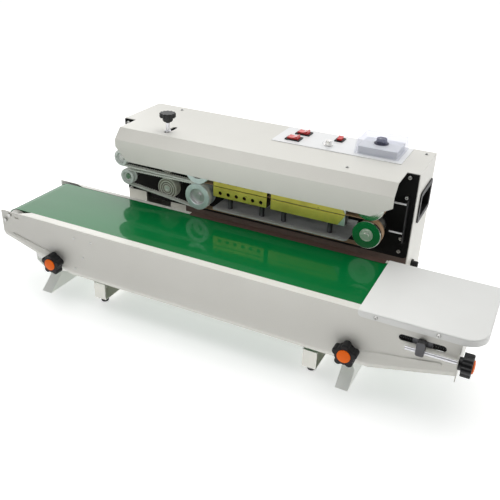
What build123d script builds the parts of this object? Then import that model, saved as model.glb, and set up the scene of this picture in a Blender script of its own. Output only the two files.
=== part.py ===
from build123d import *
import os
from math import acos, atan2, cos, degrees, pi, radians, sin, sqrt, tan

# Continuous band sealer: a long belt conveyor in front of a sheet-metal cabinet that carries
# the sealing head.  Millimetres.  +X is the way the bags travel, +Y points to the back, +Z up.
# The origin is on the floor, under the middle of the machine's outline.

os.makedirs("parts", exist_ok=True)

# ---------------------------------------------------------------- driving dimensions
X0 = -459.0  # left end of the conveyor
Y0 = -173.4  # front face of the conveyor's front rail
SHEET = 1.5  # thickness of the bent and painted sheet
RUN_FIT = 0.05  # radial clearance of a shaft in its bore
BELT_FIT = 0.3  # clearance between a belt and the wheel that it wraps

# conveyor
RAIL_LENGTH = 884.0
RAIL_TOP = 167.5
CONVEYOR_WIDTH = 176.0  # over the outer faces of both rails
FRONT_FLANGE = 17.0
REAR_FLANGE = 8.5
BELT_WIDTH = 149.0
BELT_THICK = 1.5
BELT_TOP = 167.0
ROLLER_RADIUS = 24.0
ROLLER_Z = BELT_TOP - BELT_THICK - BELT_FIT - ROLLER_RADIUS
DRIVE_X = X0 + 26.0
IDLER_X = X0 + 829.0
BELT_FRONT = Y0 + 17.5
ROLLER_SHAFT_RADIUS = 5.0
RAIL_REAR = Y0 + CONVEYOR_WIDTH
LIP_HEIGHT = 8.0
LIP_LEAN = 2.5
BEAD_WIDTH = 9.0  # stiffening beads pressed into the slanted ends of the rails
BEAD_HEIGHT = 1.8
BEADS = [((X0 + 25.0, 119.0), (X0 + 111.0, 101.5)), ((X0 + 738.0, 92.5), (X0 + 859.0, 112.5))]
RAIL_BOTTOM = [(X0, 114.0), (X0 + 162.0, 66.0), (X0 + 752.0, 66.0), (X0 + RAIL_LENGTH, 99.0)]
LEG_KNOB_Z = 90.0
LEG_KNOB_X = [X0 + 130.0, X0 + 718.0]
TENSION_Y = 8.0  # the tension screws run this far outside the rails
TENSION_Z = 131.0
TRAY_LEFT = X0 + 726.0
TRAY_RIGHT = X0 + 918.0

# cabinet
CAB_LEFT = X0 + 130.0
CAB_RIGHT = X0 + 743.5
CAB_FRONT = Y0 + 238.0
CAB_REAR = Y0 + 368.0
CAB_BOTTOM = 45.0
CAB_TOP = 310.0
PLATE_THICK = 2.5
HOOD_LEFT = X0 + 157.0
HOOD_RIGHT = X0 + 720.0
HOOD_BEND_Y = Y0 + 185.0
HOOD_LIP_Y = Y0 + 166.0
HOOD_LIP_TOP = 290.0
HOOD_LIP_BOTTOM = 248.0

# sealing head
SEAL_Z = 230.5  # the plane in which the bag's mouth travels
WHEEL_RADIUS = 26.1
BAND_THICK = 0.4
WHEEL_DROP = WHEEL_RADIUS + BELT_FIT + BAND_THICK + 0.2  # wheel centre to the sealing plane
LOWER_Z = SEAL_Z - WHEEL_DROP
UPPER_Z = SEAL_Z + WHEEL_DROP
LEFT_WHEEL_X = X0 + 338.4
RIGHT_WHEEL_X = X0 + 677.0
WHEEL_FACE_Y = Y0 + 175.0
RIGHT_FACE_Y = Y0 + 182.0
GUIDE_FRONT = Y0 + 177.3
GUIDE_WIDTH = 9.4
BAND_FRONT = Y0 + 187.5
BAND_WIDTH = 15.0
WHEEL_REAR = Y0 + 204.0
WHEEL_SHAFT_RADIUS = 6.0
GUIDE_THICK = 3.4
GUIDE_TRACK = 23.2
PULLEY_TRACK = 12.9
SMALL_LOWER = (X0 + 175.0, 211.0)
SMALL_UPPER = (X0 + 161.4, 248.5)
MID_X = X0 + 262.4
MID_RADIUS = 21.6
MID_FACE_Y = Y0 + 187.5
MID_LOWER_Z = 200.1
MID_UPPER_Z = 255.6
AXLE_RADIUS = 4.0
BLOCK_FRONT = Y0 + 184.5
BLOCK_REAR = Y0 + 204.0
BLOCK_HEIGHT = 20.8
BLOCK_TOP = SEAL_Z - 0.7
HEAT_LEFT, HEAT_RIGHT = X0 + 371.0, X0 + 481.5
COOL_LEFT, COOL_RIGHT = X0 + 491.0, X0 + 635.0
CARRIER_TOP = 188.0
POST_X = [X0 + 404.0, X0 + 471.0, X0 + 516.0, X0 + 607.0]
POST_Y = Y0 + 190.0
POST_RADIUS = 3.5
GUARD_HOLES = [X0 + 385.0 + 17.2 * i for i in range(6)]
LOWER_HOLE_Z = SEAL_Z - 12.4
UPPER_HOLE_Z = SEAL_Z + 12.4

# gears that turn the upper sealing wheel against the lower one
GEAR_TEETH = 36
GEAR_MODULE = (UPPER_Z - LOWER_Z) / GEAR_TEETH
GEAR_WIDTH = 8.0
GEAR_FRONT = Y0 + 262.0

# controls on the top of the cabinet
PANEL_THICK = 1.2
PANEL_TOP = CAB_TOP + PANEL_THICK
ROCKER_TILT = 8.0
ROCKERS = [  # centre, bezel length and width, turn about the vertical
    ((X0 + 483.0, Y0 + 298.0), 30.0, 24.0, 0.0),
    ((X0 + 488.0, Y0 + 338.0), 30.0, 24.0, 0.0),
    ((X0 + 563.0, Y0 + 338.0), 24.0, 17.0, 90.0),
]
SPEED_XY = (X0 + 553.0, Y0 + 299.0)
CONTROLLER_XY = (X0 + 650.0, Y0 + 319.0)
HEAT_KNOB_XY = (X0 + 648.0, Y0 + 322.0)
CONTROLLER_TOP = PANEL_TOP + 13.5
HINGE_Y = Y0 + 359.5
HINGE_Z = PANEL_TOP + 2.6
HINGE_X = [X0 + 626.0, X0 + 675.0]
PRESSURE_XY = (X0 + 252.0, Y0 + 212.0)


# ---------------------------------------------------------------- planes and outlines
def front_plane(y):
    """A plane facing the front at depth y: local x is X, local y is Z, minus extrudes to the back."""
    return Plane.XZ.offset(-y)


def side_plane(x):
    """A plane facing the outfeed at station x: local x is Y, local y is Z."""
    return Plane.YZ.offset(x)


def turning_plane(x, z):
    """The half plane for turned parts on an axis along Y: local x is Y, local y is the radius."""
    return Plane(origin=(x, 0, z), x_dir=(0, 1, 0), z_dir=(1, 0, 0))


def turning_axis(x, z):
    return Axis((x, 0, z), (0, 1, 0))


def tangent_outline(first, first_radius, second, second_radius):
    """Four corners of the strip between the two outer tangents of a pair of circles."""
    dx = second[0] - first[0]
    dz = second[1] - first[1]
    length = sqrt(dx * dx + dz * dz)
    heading = atan2(dz, dx)
    opening = acos((first_radius - second_radius) / length)
    up = (cos(heading + opening), sin(heading + opening))
    down = (cos(heading - opening), sin(heading - opening))
    return [
        (first[0] + first_radius * up[0], first[1] + first_radius * up[1]),
        (first[0] + first_radius * down[0], first[1] + first_radius * down[1]),
        (second[0] + second_radius * down[0], second[1] + second_radius * down[1]),
        (second[0] + second_radius * up[0], second[1] + second_radius * up[1]),
    ]


def belt_sketch(first, first_radius, second, second_radius, mode=Mode.ADD):
    """The filled outline of a belt that wraps two circles, added to the open sketch."""
    with Locations(first):
        Circle(first_radius, mode=mode)
    with Locations(second):
        Circle(second_radius, mode=mode)
    with BuildLine() as strip:
        Polyline(*tangent_outline(first, first_radius, second, second_radius), close=True)
    make_face(strip.edges(), mode=mode)


def gear_outline(teeth, module, backlash, phase):
    """The closed outline of an involute gear about (0, 0), its first tooth at phase degrees."""
    pressure = radians(20)
    pitch = module * teeth / 2
    base = pitch * cos(pressure)
    root = pitch - 1.25 * module
    tip = pitch + 0.95 * module
    half_angle = (pi * module / 2 - backlash) / (2 * pitch) + (tan(pressure) - pressure)
    flank = [(root, half_angle)]
    steps = 4
    for i in range(steps + 1):
        radius = base + (tip - base) * i / steps
        roll = acos(min(1.0, base / radius))
        flank.append((radius, half_angle - (tan(roll) - roll)))
    tooth = [(r, -a) for r, a in flank] + [(r, a) for r, a in reversed(flank)]
    outline = []
    for i in range(teeth):
        turn = radians(phase + 360.0 * i / teeth)
        outline += [(r * cos(turn + a), r * sin(turn + a)) for r, a in tooth]
    return outline


def coil_profile(length, radius, wire, turns):
    """Outline of a coil spring drawn as a row of touching rings, along local x, above the axis."""
    pitch = length / turns
    points = [(0, radius - wire)]
    for i in range(turns):
        points.append((pitch * i + 0.25 * pitch, radius))
        points.append((pitch * i + 0.75 * pitch, radius))
        points.append((pitch * (i + 1), radius - wire / 2 if i < turns - 1 else radius - wire))
    return points


# ---------------------------------------------------------------- conveyor rails
def build_rail(face_y, inward, flange, housing):
    """One side rail: a web with a bent top flange, a lip that leans inward along the bottom, and
    on one of them the housing for the front end of the drive roller's shaft."""
    web_bottom = [(x, z + LIP_HEIGHT) for x, z in RAIL_BOTTOM]
    top_left = (X0, RAIL_TOP)
    top_right = (X0 + RAIL_LENGTH, RAIL_TOP)
    flange_z = RAIL_TOP - SHEET
    with BuildPart() as rail:
        with BuildSketch(front_plane(face_y)) as web:
            with BuildLine():
                Polyline(top_left, *web_bottom, top_right, close=True)
            make_face()
            fillet(web.vertices().sort_by(Axis.X)[:1], 3)
            with Locations((X0 + 38.0, 158.5)):
                SlotOverall(11, 5, mode=Mode.SUBTRACT)
            with Locations((IDLER_X, ROLLER_Z)):
                SlotOverall(72, 11, mode=Mode.SUBTRACT)
            with Locations(*[(x, LEG_KNOB_Z) for x in LEG_KNOB_X]):
                Circle(3.6, mode=Mode.SUBTRACT)
        extrude(amount=-SHEET * inward)
        with BuildSketch(Plane.XY.offset(flange_z)):
            with BuildLine():
                Polyline(
                    (X0 + 40.0, face_y),
                    (X0 + 62.0, face_y + inward * flange),
                    (X0 + RAIL_LENGTH, face_y + inward * flange),
                    (X0 + RAIL_LENGTH, face_y),
                    close=True,
                )
            make_face()
        extrude(amount=SHEET)
        with BuildLine(front_plane(face_y)) as fold:
            Polyline(*web_bottom)
        start = Plane(origin=fold.line @ 0, x_dir=(0, inward, 0), z_dir=fold.line % 0)
        drop = -LIP_HEIGHT * inward
        with BuildSketch(start):
            with BuildLine():
                Polyline((0, 0), (SHEET, 0), (SHEET + LIP_LEAN, drop), (LIP_LEAN, drop), close=True)
            make_face()
        sweep(path=fold.line, transition=Transition.RIGHT)
        with Locations((X0 + RAIL_LENGTH / 2, face_y, RAIL_TOP / 2)):
            Box(RAIL_LENGTH, 2 * CONVEYOR_WIDTH, RAIL_TOP, mode=Mode.INTERSECT)
        with BuildSketch(front_plane(face_y)):
            for (left_x, left_z), (right_x, right_z) in BEADS:
                run = right_x - left_x
                rise = right_z - left_z
                slope = degrees(atan2(rise, run))
                with Locations(((left_x + right_x) / 2, (left_z + right_z) / 2)):
                    SlotCenterToCenter(sqrt(run * run + rise * rise), BEAD_WIDTH, rotation=slope)
        extrude(amount=inward * BEAD_HEIGHT, taper=35)
        for stop_x in (IDLER_X - 40.0, IDLER_X + 38.0):
            with BuildSketch(side_plane(stop_x)):
                with Locations((face_y + inward * (SHEET + 6.0), ROLLER_Z)):
                    Rectangle(12.2, 14)
            extrude(amount=2.0)
        if housing:
            with BuildSketch(front_plane(face_y + SHEET)):
                with Locations((DRIVE_X, ROLLER_Z)):
                    RectangleRounded(38, 38, 6)
            extrude(amount=-4.0)
            with BuildSketch(front_plane(face_y + SHEET)):
                with Locations((DRIVE_X, ROLLER_Z)):
                    Circle(14)
            extrude(amount=-11.0)
            with BuildSketch(front_plane(face_y + SHEET)):
                with Locations((DRIVE_X, ROLLER_Z)):
                    Circle(ROLLER_SHAFT_RADIUS + RUN_FIT)
            extrude(amount=-12.0, mode=Mode.SUBTRACT)
    return rail


front_rail = build_rail(Y0, 1, FRONT_FLANGE, True)
front_rail.part.label = "front_rail"
export_step(front_rail.part, "parts/front_rail.step")

rear_rail = build_rail(RAIL_REAR, -1, REAR_FLANGE, False)
rear_rail.part.label = "rear_rail"
export_step(rear_rail.part, "parts/rear_rail.step")

# Flat bed under the carrying run of the belt, welded to five cross bars between the rails.
BED_LEFT = X0 + 58.0
BED_RIGHT = X0 + 792.0
BED_TOP = BELT_TOP - BELT_THICK
BAR_HEIGHT = 18.0
with BuildPart() as slider_bed:
    with BuildSketch(Plane.XY.offset(BED_TOP)):
        with Locations(((BED_LEFT + BED_RIGHT) / 2, BELT_FRONT + BELT_WIDTH / 2)):
            Rectangle(BED_RIGHT - BED_LEFT, BELT_WIDTH - 3)
    extrude(amount=-2.0)
    with BuildSketch(Plane.XY.offset(BED_TOP - 2.0)):
        with Locations(*[(X0 + 110.0 + 165.0 * i, (Y0 + RAIL_REAR) / 2) for i in range(5)]):
            Rectangle(16.0, CONVEYOR_WIDTH - 2 * SHEET)
            Rectangle(12.0, CONVEYOR_WIDTH - 2 * SHEET, mode=Mode.SUBTRACT)
    extrude(amount=-BAR_HEIGHT)
slider_bed.part.label = "slider_bed"
export_step(slider_bed.part, "parts/slider_bed.step")

# Endless PVC belt round both rollers.
with BuildPart() as conveyor_belt:
    with BuildSketch(front_plane(BELT_FRONT)):
        belt_sketch(
            (DRIVE_X, ROLLER_Z),
            ROLLER_RADIUS + BELT_FIT + BELT_THICK,
            (IDLER_X, ROLLER_Z),
            ROLLER_RADIUS + BELT_FIT + BELT_THICK,
        )
        belt_sketch(
            (DRIVE_X, ROLLER_Z),
            ROLLER_RADIUS + BELT_FIT,
            (IDLER_X, ROLLER_Z),
            ROLLER_RADIUS + BELT_FIT,
            mode=Mode.SUBTRACT,
        )
    extrude(amount=-BELT_WIDTH)
conveyor_belt.part.label = "conveyor_belt"
export_step(conveyor_belt.part, "parts/conveyor_belt.step")

# Hollow drive roller: the motor stands inside it, fixed to the rear rail.
ROLLER_FRONT = BELT_FRONT + 1.0
ROLLER_BACK = BELT_FRONT + BELT_WIDTH - 1.0
with BuildPart() as drive_roller:
    with BuildSketch(turning_plane(DRIVE_X, ROLLER_Z)):
        with BuildLine():
            Polyline(
                (Y0 + 3.0, 0),
                (Y0 + 3.0, ROLLER_SHAFT_RADIUS),
                (ROLLER_FRONT + 2.0, ROLLER_SHAFT_RADIUS),
                (ROLLER_FRONT + 2.0, 20.0),
                (ROLLER_FRONT, 20.0),
                (ROLLER_FRONT, ROLLER_RADIUS),
                (ROLLER_BACK, ROLLER_RADIUS),
                (ROLLER_BACK, 21.0),
                (ROLLER_FRONT + 8.0, 21.0),
                (ROLLER_FRONT + 8.0, 0),
                close=True,
            )
        make_face()
    revolve(axis=turning_axis(DRIVE_X, ROLLER_Z))
drive_roller.part.label = "drive_roller"
export_step(drive_roller.part, "parts/drive_roller.step")

with BuildPart() as roller_motor:
    with BuildSketch(turning_plane(DRIVE_X, ROLLER_Z)):
        with BuildLine():
            Polyline(
                (ROLLER_FRONT + 40.0, 0),
                (ROLLER_FRONT + 40.0, 14.0),
                (ROLLER_FRONT + 46.0, 18.5),
                (ROLLER_BACK + 1.0, 18.5),
                (ROLLER_BACK + 1.0, 23.0),
                (RAIL_REAR - SHEET, 23.0),
                (RAIL_REAR - SHEET, 0),
                close=True,
            )
        make_face()
    revolve(axis=turning_axis(DRIVE_X, ROLLER_Z))
roller_motor.part.label = "roller_motor"
export_step(roller_motor.part, "parts/roller_motor.step")

# Idler roller on a through shaft that turns in the two tension blocks.
with BuildPart() as idler_roller:
    with BuildSketch(turning_plane(IDLER_X, ROLLER_Z)):
        with BuildLine():
            Polyline(
                (Y0 + 3.0, 0),
                (Y0 + 3.0, ROLLER_SHAFT_RADIUS),
                (ROLLER_FRONT + 3.0, ROLLER_SHAFT_RADIUS),
                (ROLLER_FRONT + 3.0, 20.0),
                (ROLLER_FRONT, 20.0),
                (ROLLER_FRONT, ROLLER_RADIUS),
                (ROLLER_BACK, ROLLER_RADIUS),
                (ROLLER_BACK, 20.0),
                (ROLLER_BACK - 3.0, 20.0),
                (ROLLER_BACK - 3.0, ROLLER_SHAFT_RADIUS),
                (RAIL_REAR - 3.0, ROLLER_SHAFT_RADIUS),
                (RAIL_REAR - 3.0, 0),
                close=True,
            )
        make_face()
    revolve(axis=turning_axis(IDLER_X, ROLLER_Z))
idler_roller.part.label = "idler_roller"
export_step(idler_roller.part, "parts/idler_roller.step")


# Two blocks that carry the idler shaft, reach out through the rail slots and meet the screws.
BLOCK_BORE = ROLLER_SHAFT_RADIUS + RUN_FIT
with BuildPart() as tension_blocks:
    for face_y, outward, depth in ((Y0, -1, 13.5), (RAIL_REAR, 1, 7.0)):
        inner_y = face_y - outward * SHEET
        with BuildSketch(front_plane(inner_y)):
            with Locations((IDLER_X, ROLLER_Z)):
                RectangleRounded(30, 26, 3)
                Circle(BLOCK_BORE, mode=Mode.SUBTRACT)
        extrude(amount=outward * (depth - SHEET))
        with BuildSketch(front_plane(inner_y)):
            with Locations((IDLER_X, ROLLER_Z)):
                Rectangle(13, 9.6)
        extrude(amount=-outward * (SHEET + 1.0))
        with BuildSketch(front_plane(face_y + outward * 1.0)):
            with Locations((IDLER_X, (TENSION_Z + ROLLER_Z) / 2 + 1.0)):
                RectangleRounded(13, 24, 3)
        extrude(amount=-outward * 12.0)
        screw_start = (IDLER_X, face_y + outward * TENSION_Y, TENSION_Z)
        with Locations(Plane(origin=screw_start, z_dir=(1, 0, 0))):
            Cylinder(3.0 + RUN_FIT, 30, mode=Mode.SUBTRACT)
tension_blocks.part.label = "tension_blocks"
export_step(tension_blocks.part, "parts/tension_blocks.step")

# Compression springs each side of the blocks, between them and the stops on the rails.
with BuildPart() as tension_springs:
    for spring_y in (Y0 + 6.2, RAIL_REAR - 5.4):
        for start_x, end_x in ((IDLER_X - 38.0, IDLER_X - 15.0), (IDLER_X + 15.0, IDLER_X + 38.0)):
            profile = coil_profile(end_x - start_x, 3.6, 1.1, 9)
            axial = Plane(origin=(start_x, spring_y, ROLLER_Z), x_dir=(1, 0, 0), z_dir=(0, -1, 0))
            with BuildSketch(axial):
                with BuildLine():
                    Polyline((0, 2.0), *profile, (end_x - start_x, 2.0), close=True)
                make_face()
            revolve(axis=Axis((start_x, spring_y, ROLLER_Z), (1, 0, 0)))
tension_springs.part.label = "tension_springs"
export_step(tension_springs.part, "parts/tension_springs.step")

# End plate across both rails, with an ear each side for the tension screws.
END_X = X0 + RAIL_LENGTH
with BuildPart() as end_plate:
    with BuildSketch(side_plane(END_X)):
        with BuildLine():
            Polyline(
                (Y0, 89.0),
                (RAIL_REAR, 89.0),
                (RAIL_REAR, 118.0),
                (RAIL_REAR + 16.0, 121.0),
                (RAIL_REAR + 16.0, 141.0),
                (RAIL_REAR, 144.0),
                (RAIL_REAR, 165.5),
                (Y0, 165.5),
                (Y0, 144.0),
                (Y0 - 16.0, 141.0),
                (Y0 - 16.0, 121.0),
                (Y0, 118.0),
                close=True,
            )
        make_face()
        with Locations((Y0 - TENSION_Y, TENSION_Z), (RAIL_REAR + TENSION_Y, TENSION_Z)):
            Circle(3.0 + RUN_FIT, mode=Mode.SUBTRACT)
    extrude(amount=SHEET)
end_plate.part.label = "end_plate"
export_step(end_plate.part, "parts/end_plate.step")


def build_tension_screw(screw_y):
    """A threaded rod along X with a lobed hand knob on its outer end."""
    seat = END_X + SHEET + 0.4
    with BuildPart() as screw:
        with BuildSketch(side_plane(X0 + 806.0)):
            with Locations((screw_y, TENSION_Z)):
                Circle(3.0)
        extrude(amount=seat - X0 - 806.0)
        with BuildSketch(side_plane(seat)):
            with Locations((screw_y, TENSION_Z)):
                Circle(10.0)
        extrude(amount=5.0)
        with BuildSketch(side_plane(seat + 5.0)) as knob:
            with Locations((screw_y, TENSION_Z)):
                Circle(14.5)
                with PolarLocations(13.0, 6):
                    Circle(5.2)
            fillet(knob.vertices(), 1.5)
        extrude(amount=15.0)
        fillet(screw.faces().sort_by(Axis.X)[-1].edges(), 2.0)
        with BuildSketch(side_plane(seat + 20.0)):
            with Locations((screw_y, TENSION_Z)):
                Circle(9.0)
        extrude(amount=1.5)
    return screw


tension_screw_front = build_tension_screw(Y0 - TENSION_Y)
tension_screw_front.part.label = "tension_screw_front"
export_step(tension_screw_front.part, "parts/tension_screw_front.step")

tension_screw_rear = build_tension_screw(RAIL_REAR + TENSION_Y)
tension_screw_rear.part.label = "tension_screw_rear"
export_step(tension_screw_rear.part, "parts/tension_screw_rear.step")

# Tray that takes the bags off the belt: rounded outer corners and an edge turned down all round
# but at the belt.
TRAY_SKIRT = 9.8  # how far the turned edge reaches below the rails' top
TRAY_CORNERS = (34.0, 60.0)  # front and rear radius of the free end


def tray_outline(left, inset):
    """Sketch of the tray's plan, started at station left and drawn in by inset at its edges."""
    with BuildSketch() as plan:
        with BuildLine():
            Polyline(
                (left, Y0 - SHEET + inset),
                (left, RAIL_REAR + SHEET - inset),
                (TRAY_RIGHT - inset, RAIL_REAR + SHEET - inset),
                (TRAY_RIGHT - inset, Y0 - SHEET + inset),
                close=True,
            )
        make_face()
        free_corners = plan.vertices().group_by(Axis.X)[-1].sort_by(Axis.Y)
        for corner, radius in zip(free_corners, TRAY_CORNERS):
            fillet(corner, radius - inset)
    return plan.sketch


with BuildPart() as receiving_tray:
    skirt_plane = Plane.XY.offset(RAIL_TOP - TRAY_SKIRT)
    extrude(skirt_plane * tray_outline(TRAY_LEFT, 0.0), amount=TRAY_SKIRT + SHEET)
    extrude(skirt_plane * tray_outline(TRAY_LEFT - 5.0, SHEET), amount=TRAY_SKIRT, mode=Mode.SUBTRACT)
    skirt_ends = receiving_tray.edges().filter_by(Axis.Y).group_by(Axis.Z)[0].group_by(Axis.X)[0]
    fillet(skirt_ends, 7.0)
    rim = receiving_tray.faces().sort_by(Axis.Z)[-1].edges().sort_by(Axis.X)[1:]
    fillet(rim, 2.4)
receiving_tray.part.label = "receiving_tray"
export_step(receiving_tray.part, "parts/receiving_tray.step")

# Screws and rivets of the conveyor, all with low domed heads.
RIVETS = [(X0 + 176.6, 149.0), (X0 + 214.8, 149.0), (X0 + 193.2, 112.0), (X0 + 172.8, 84.0)]
BEARING_BOLTS = [(X0 + 21.4, 160.5), (X0 + 9.5, 148.0)]
TRAY_SCREWS = [(X0 + 754.5, 162.4), (X0 + 850.0, 162.4)]
with BuildPart() as conveyor_screws:
    for face_y, outward in ((Y0, -1), (RAIL_REAR, 1)):
        with BuildSketch(front_plane(face_y)):
            with Locations(*RIVETS):
                Circle(2.6)
        extrude(amount=-outward * 1.2, taper=20)
        with BuildSketch(front_plane(face_y)):
            with Locations(*BEARING_BOLTS):
                RegularPolygon(4.0, 6)
        extrude(amount=-outward * 3.0)
        with BuildSketch(front_plane(face_y + outward * SHEET)):
            with Locations(*TRAY_SCREWS):
                Circle(3.6)
        extrude(amount=-outward * 2.0, taper=25)
conveyor_screws.part.label = "conveyor_screws"
export_step(conveyor_screws.part, "parts/conveyor_screws.step")


def build_leg_knob(knob_x):
    """A five-lobed clamping knob with a domed cap and a bolt through rail and leg."""
    face = Y0 - 6.0
    with BuildPart() as knob:
        with BuildSketch(front_plane(Y0 + 16.0)):
            with Locations((knob_x, LEG_KNOB_Z)):
                Circle(3.0)
        extrude(amount=22.0)
        with BuildSketch(front_plane(Y0 - 0.4)):
            with Locations((knob_x, LEG_KNOB_Z)):
                Circle(12.0)
        extrude(amount=5.6)
        with BuildSketch(front_plane(face)) as lobes:
            with Locations((knob_x, LEG_KNOB_Z)):
                Circle(16.5)
                with PolarLocations(15.0, 5, start_angle=90):
                    Circle(6.4)
            fillet(lobes.vertices(), 2.5)
        extrude(amount=16.0)
        fillet(knob.faces().sort_by(Axis.Y)[0].edges(), 2.5)
        with BuildSketch(front_plane(face - 16.0)):
            with Locations((knob_x, LEG_KNOB_Z)):
                Circle(10.5)
        extrude(amount=2.0, taper=20)
    return knob


leg_knob_left = build_leg_knob(LEG_KNOB_X[0])
leg_knob_left.part.label = "leg_knob_left"
export_step(leg_knob_left.part, "parts/leg_knob_left.step")

leg_knob_right = build_leg_knob(LEG_KNOB_X[1])
leg_knob_right.part.label = "leg_knob_right"
export_step(leg_knob_right.part, "parts/leg_knob_right.step")

# ---------------------------------------------------------------- legs and base
LEG_WIDTH = 23.0
CHANNEL_LEFT = X0 + 190.0
LEG_LEFT_X = [X0 + 72.0, X0 + 701.0]
LEG_PROFILE = [  # side view of the arm's flange: shoe on the floor, arm back to the cabinet
    (Y0 + 8.0, 0.0),
    (Y0 + 87.0, 0.0),
    (Y0 + 96.0, 14.0),
    (Y0 + 300.0, 14.0),
    (Y0 + 300.0, CAB_BOTTOM),
    (Y0 + 244.0, CAB_BOTTOM),
    (Y0 + 240.0, 36.0),
    (Y0 + 52.0, 36.0),
]
SLOT_BOTTOM = LEG_KNOB_Z - 19.0
SLOT_TOP = LEG_KNOB_Z + 8.0
UPRIGHT_FRONT = Y0 + 5.0
with BuildPart() as support_legs:
    for knob_x, left in zip(LEG_KNOB_X, LEG_LEFT_X):
        with BuildSketch(side_plane(left)) as flange:
            with BuildLine():
                Polyline(*LEG_PROFILE, close=True)
            make_face()
        extrude(amount=LEG_WIDTH)
        with BuildSketch(side_plane(left + SHEET)):
            with BuildLine():
                Polyline(
                    (Y0 + 13.0, -1.0),
                    (Y0 + 85.0, -1.0),
                    (Y0 + 94.0, 12.5),
                    (Y0 + 298.5, 12.5),
                    (Y0 + 298.5, CAB_BOTTOM - SHEET),
                    (Y0 + 245.0, CAB_BOTTOM - SHEET),
                    (Y0 + 241.0, 36.0 - SHEET),
                    (Y0 + 53.0, 36.0 - SHEET),
                    close=True,
                )
            make_face()
        extrude(amount=LEG_WIDTH - 2 * SHEET, mode=Mode.SUBTRACT)
        gusset = left if knob_x - left > 40 else left + LEG_WIDTH - SHEET
        with BuildSketch(side_plane(gusset)):
            with BuildLine():
                Polyline(
                    (UPRIGHT_FRONT, 104.0),
                    (UPRIGHT_FRONT, 74.0),
                    (Y0 + 38.0, 25.0),
                    (Y0 + 70.0, 20.0),
                    (Y0 + 70.0, 36.0),
                    (Y0 + 30.0, 104.0),
                    close=True,
                )
            make_face()
        extrude(amount=SHEET)
        upright_left = min(gusset, knob_x - 14.0)
        upright_right = max(gusset + SHEET, knob_x + 14.0)
        with BuildSketch(front_plane(UPRIGHT_FRONT)):
            with BuildLine():
                Polyline(
                    (upright_left, 104.0),
                    (upright_left, 68.0 if gusset > knob_x - 14.0 else 82.0),
                    (knob_x - 14.0, 66.0),
                    (upright_right, 66.0),
                    (upright_right, 104.0),
                    close=True,
                )
            make_face()
            with Locations((knob_x, (SLOT_BOTTOM + SLOT_TOP) / 2)):
                SlotOverall(SLOT_TOP - SLOT_BOTTOM, 7, rotation=90, mode=Mode.SUBTRACT)
        extrude(amount=-2.0)
    with BuildSketch(side_plane(LEG_LEFT_X[0] + LEG_WIDTH)):
        with Locations((Y0 + 272.0, 25.0)):
            Rectangle(24.0, 18.0)
            Rectangle(21.0, 15.0, mode=Mode.SUBTRACT)
    extrude(amount=CHANNEL_LEFT - LEG_LEFT_X[0] - LEG_WIDTH)
support_legs.part.label = "support_legs"
export_step(support_legs.part, "parts/support_legs.step")

# Welded base: the cabinet's floor pan with its front panel, on two channels that run forward
# under the conveyor.
CHANNELS = [(CHANNEL_LEFT, Y0 + 28.0), (X0 + 634.0, Y0 + 24.0)]  # left side and front of each
CHANNEL_WIDTH = 26.0
CHANNEL_BOTTOM = 10.0
CHANNEL_BACK = CAB_REAR - 14.0
PANEL_Y = CAB_FRONT + PLATE_THICK
PAN_DEPTH = CAB_REAR - SHEET - PANEL_Y
with BuildPart() as base_frame:
    with BuildSketch(Plane.XY.offset(CAB_BOTTOM)):
        with Locations(((CAB_LEFT + CAB_RIGHT) / 2, PANEL_Y + PAN_DEPTH / 2)):
            Rectangle(CAB_RIGHT - CAB_LEFT - 2 * SHEET, PAN_DEPTH)
    extrude(amount=14.0)
    with BuildSketch(Plane.XY.offset(CAB_BOTTOM + SHEET)):
        with Locations(((CAB_LEFT + CAB_RIGHT) / 2, PANEL_Y + PAN_DEPTH / 2)):
            Rectangle(CAB_RIGHT - CAB_LEFT - 4 * SHEET, PAN_DEPTH - 2 * SHEET)
    extrude(amount=14.0, mode=Mode.SUBTRACT)
    with BuildSketch(front_plane(PANEL_Y)):
        with BuildLine():
            Polyline(
                (CAB_LEFT + SHEET, CAB_BOTTOM),
                (CAB_LEFT + SHEET, 162.0),
                (X0 + 175.0, 162.0),
                (X0 + 175.0, 112.0),
                (X0 + 236.0, 112.0),
                (X0 + 236.0, 162.0),
                (CAB_RIGHT - SHEET, 162.0),
                (CAB_RIGHT - SHEET, CAB_BOTTOM),
                close=True,
            )
        make_face()
    extrude(amount=-SHEET)
    for left, front in CHANNELS:
        with BuildSketch(front_plane(front)):
            with Locations((left + CHANNEL_WIDTH / 2, (CHANNEL_BOTTOM + CAB_BOTTOM) / 2)):
                Rectangle(CHANNEL_WIDTH, CAB_BOTTOM - CHANNEL_BOTTOM)
        extrude(amount=-(CHANNEL_BACK - front))
        with BuildSketch(front_plane(front + SHEET)):
            with Locations((left + CHANNEL_WIDTH / 2 + SHEET, (CHANNEL_BOTTOM + CAB_BOTTOM) / 2)):
                Rectangle(CHANNEL_WIDTH, CAB_BOTTOM - CHANNEL_BOTTOM - 2 * SHEET)
        extrude(amount=-(CHANNEL_BACK - front), mode=Mode.SUBTRACT)
base_frame.part.label = "base_frame"
export_step(base_frame.part, "parts/base_frame.step")

# Rubber feet, one under each end of both channels.
FOOT_XY = []
for left, front in CHANNELS:
    FOOT_XY.append((left + 14.0, front + 13.0))
    FOOT_XY.append((left + 14.0, CHANNEL_BACK - 13.0))
with BuildPart() as rubber_feet:
    for x, y in FOOT_XY:
        with Locations((x, y, CHANNEL_BOTTOM / 2)):
            Cone(7.0, 9.5, CHANNEL_BOTTOM)
rubber_feet.part.label = "rubber_feet"
export_step(rubber_feet.part, "parts/rubber_feet.step")

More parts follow.
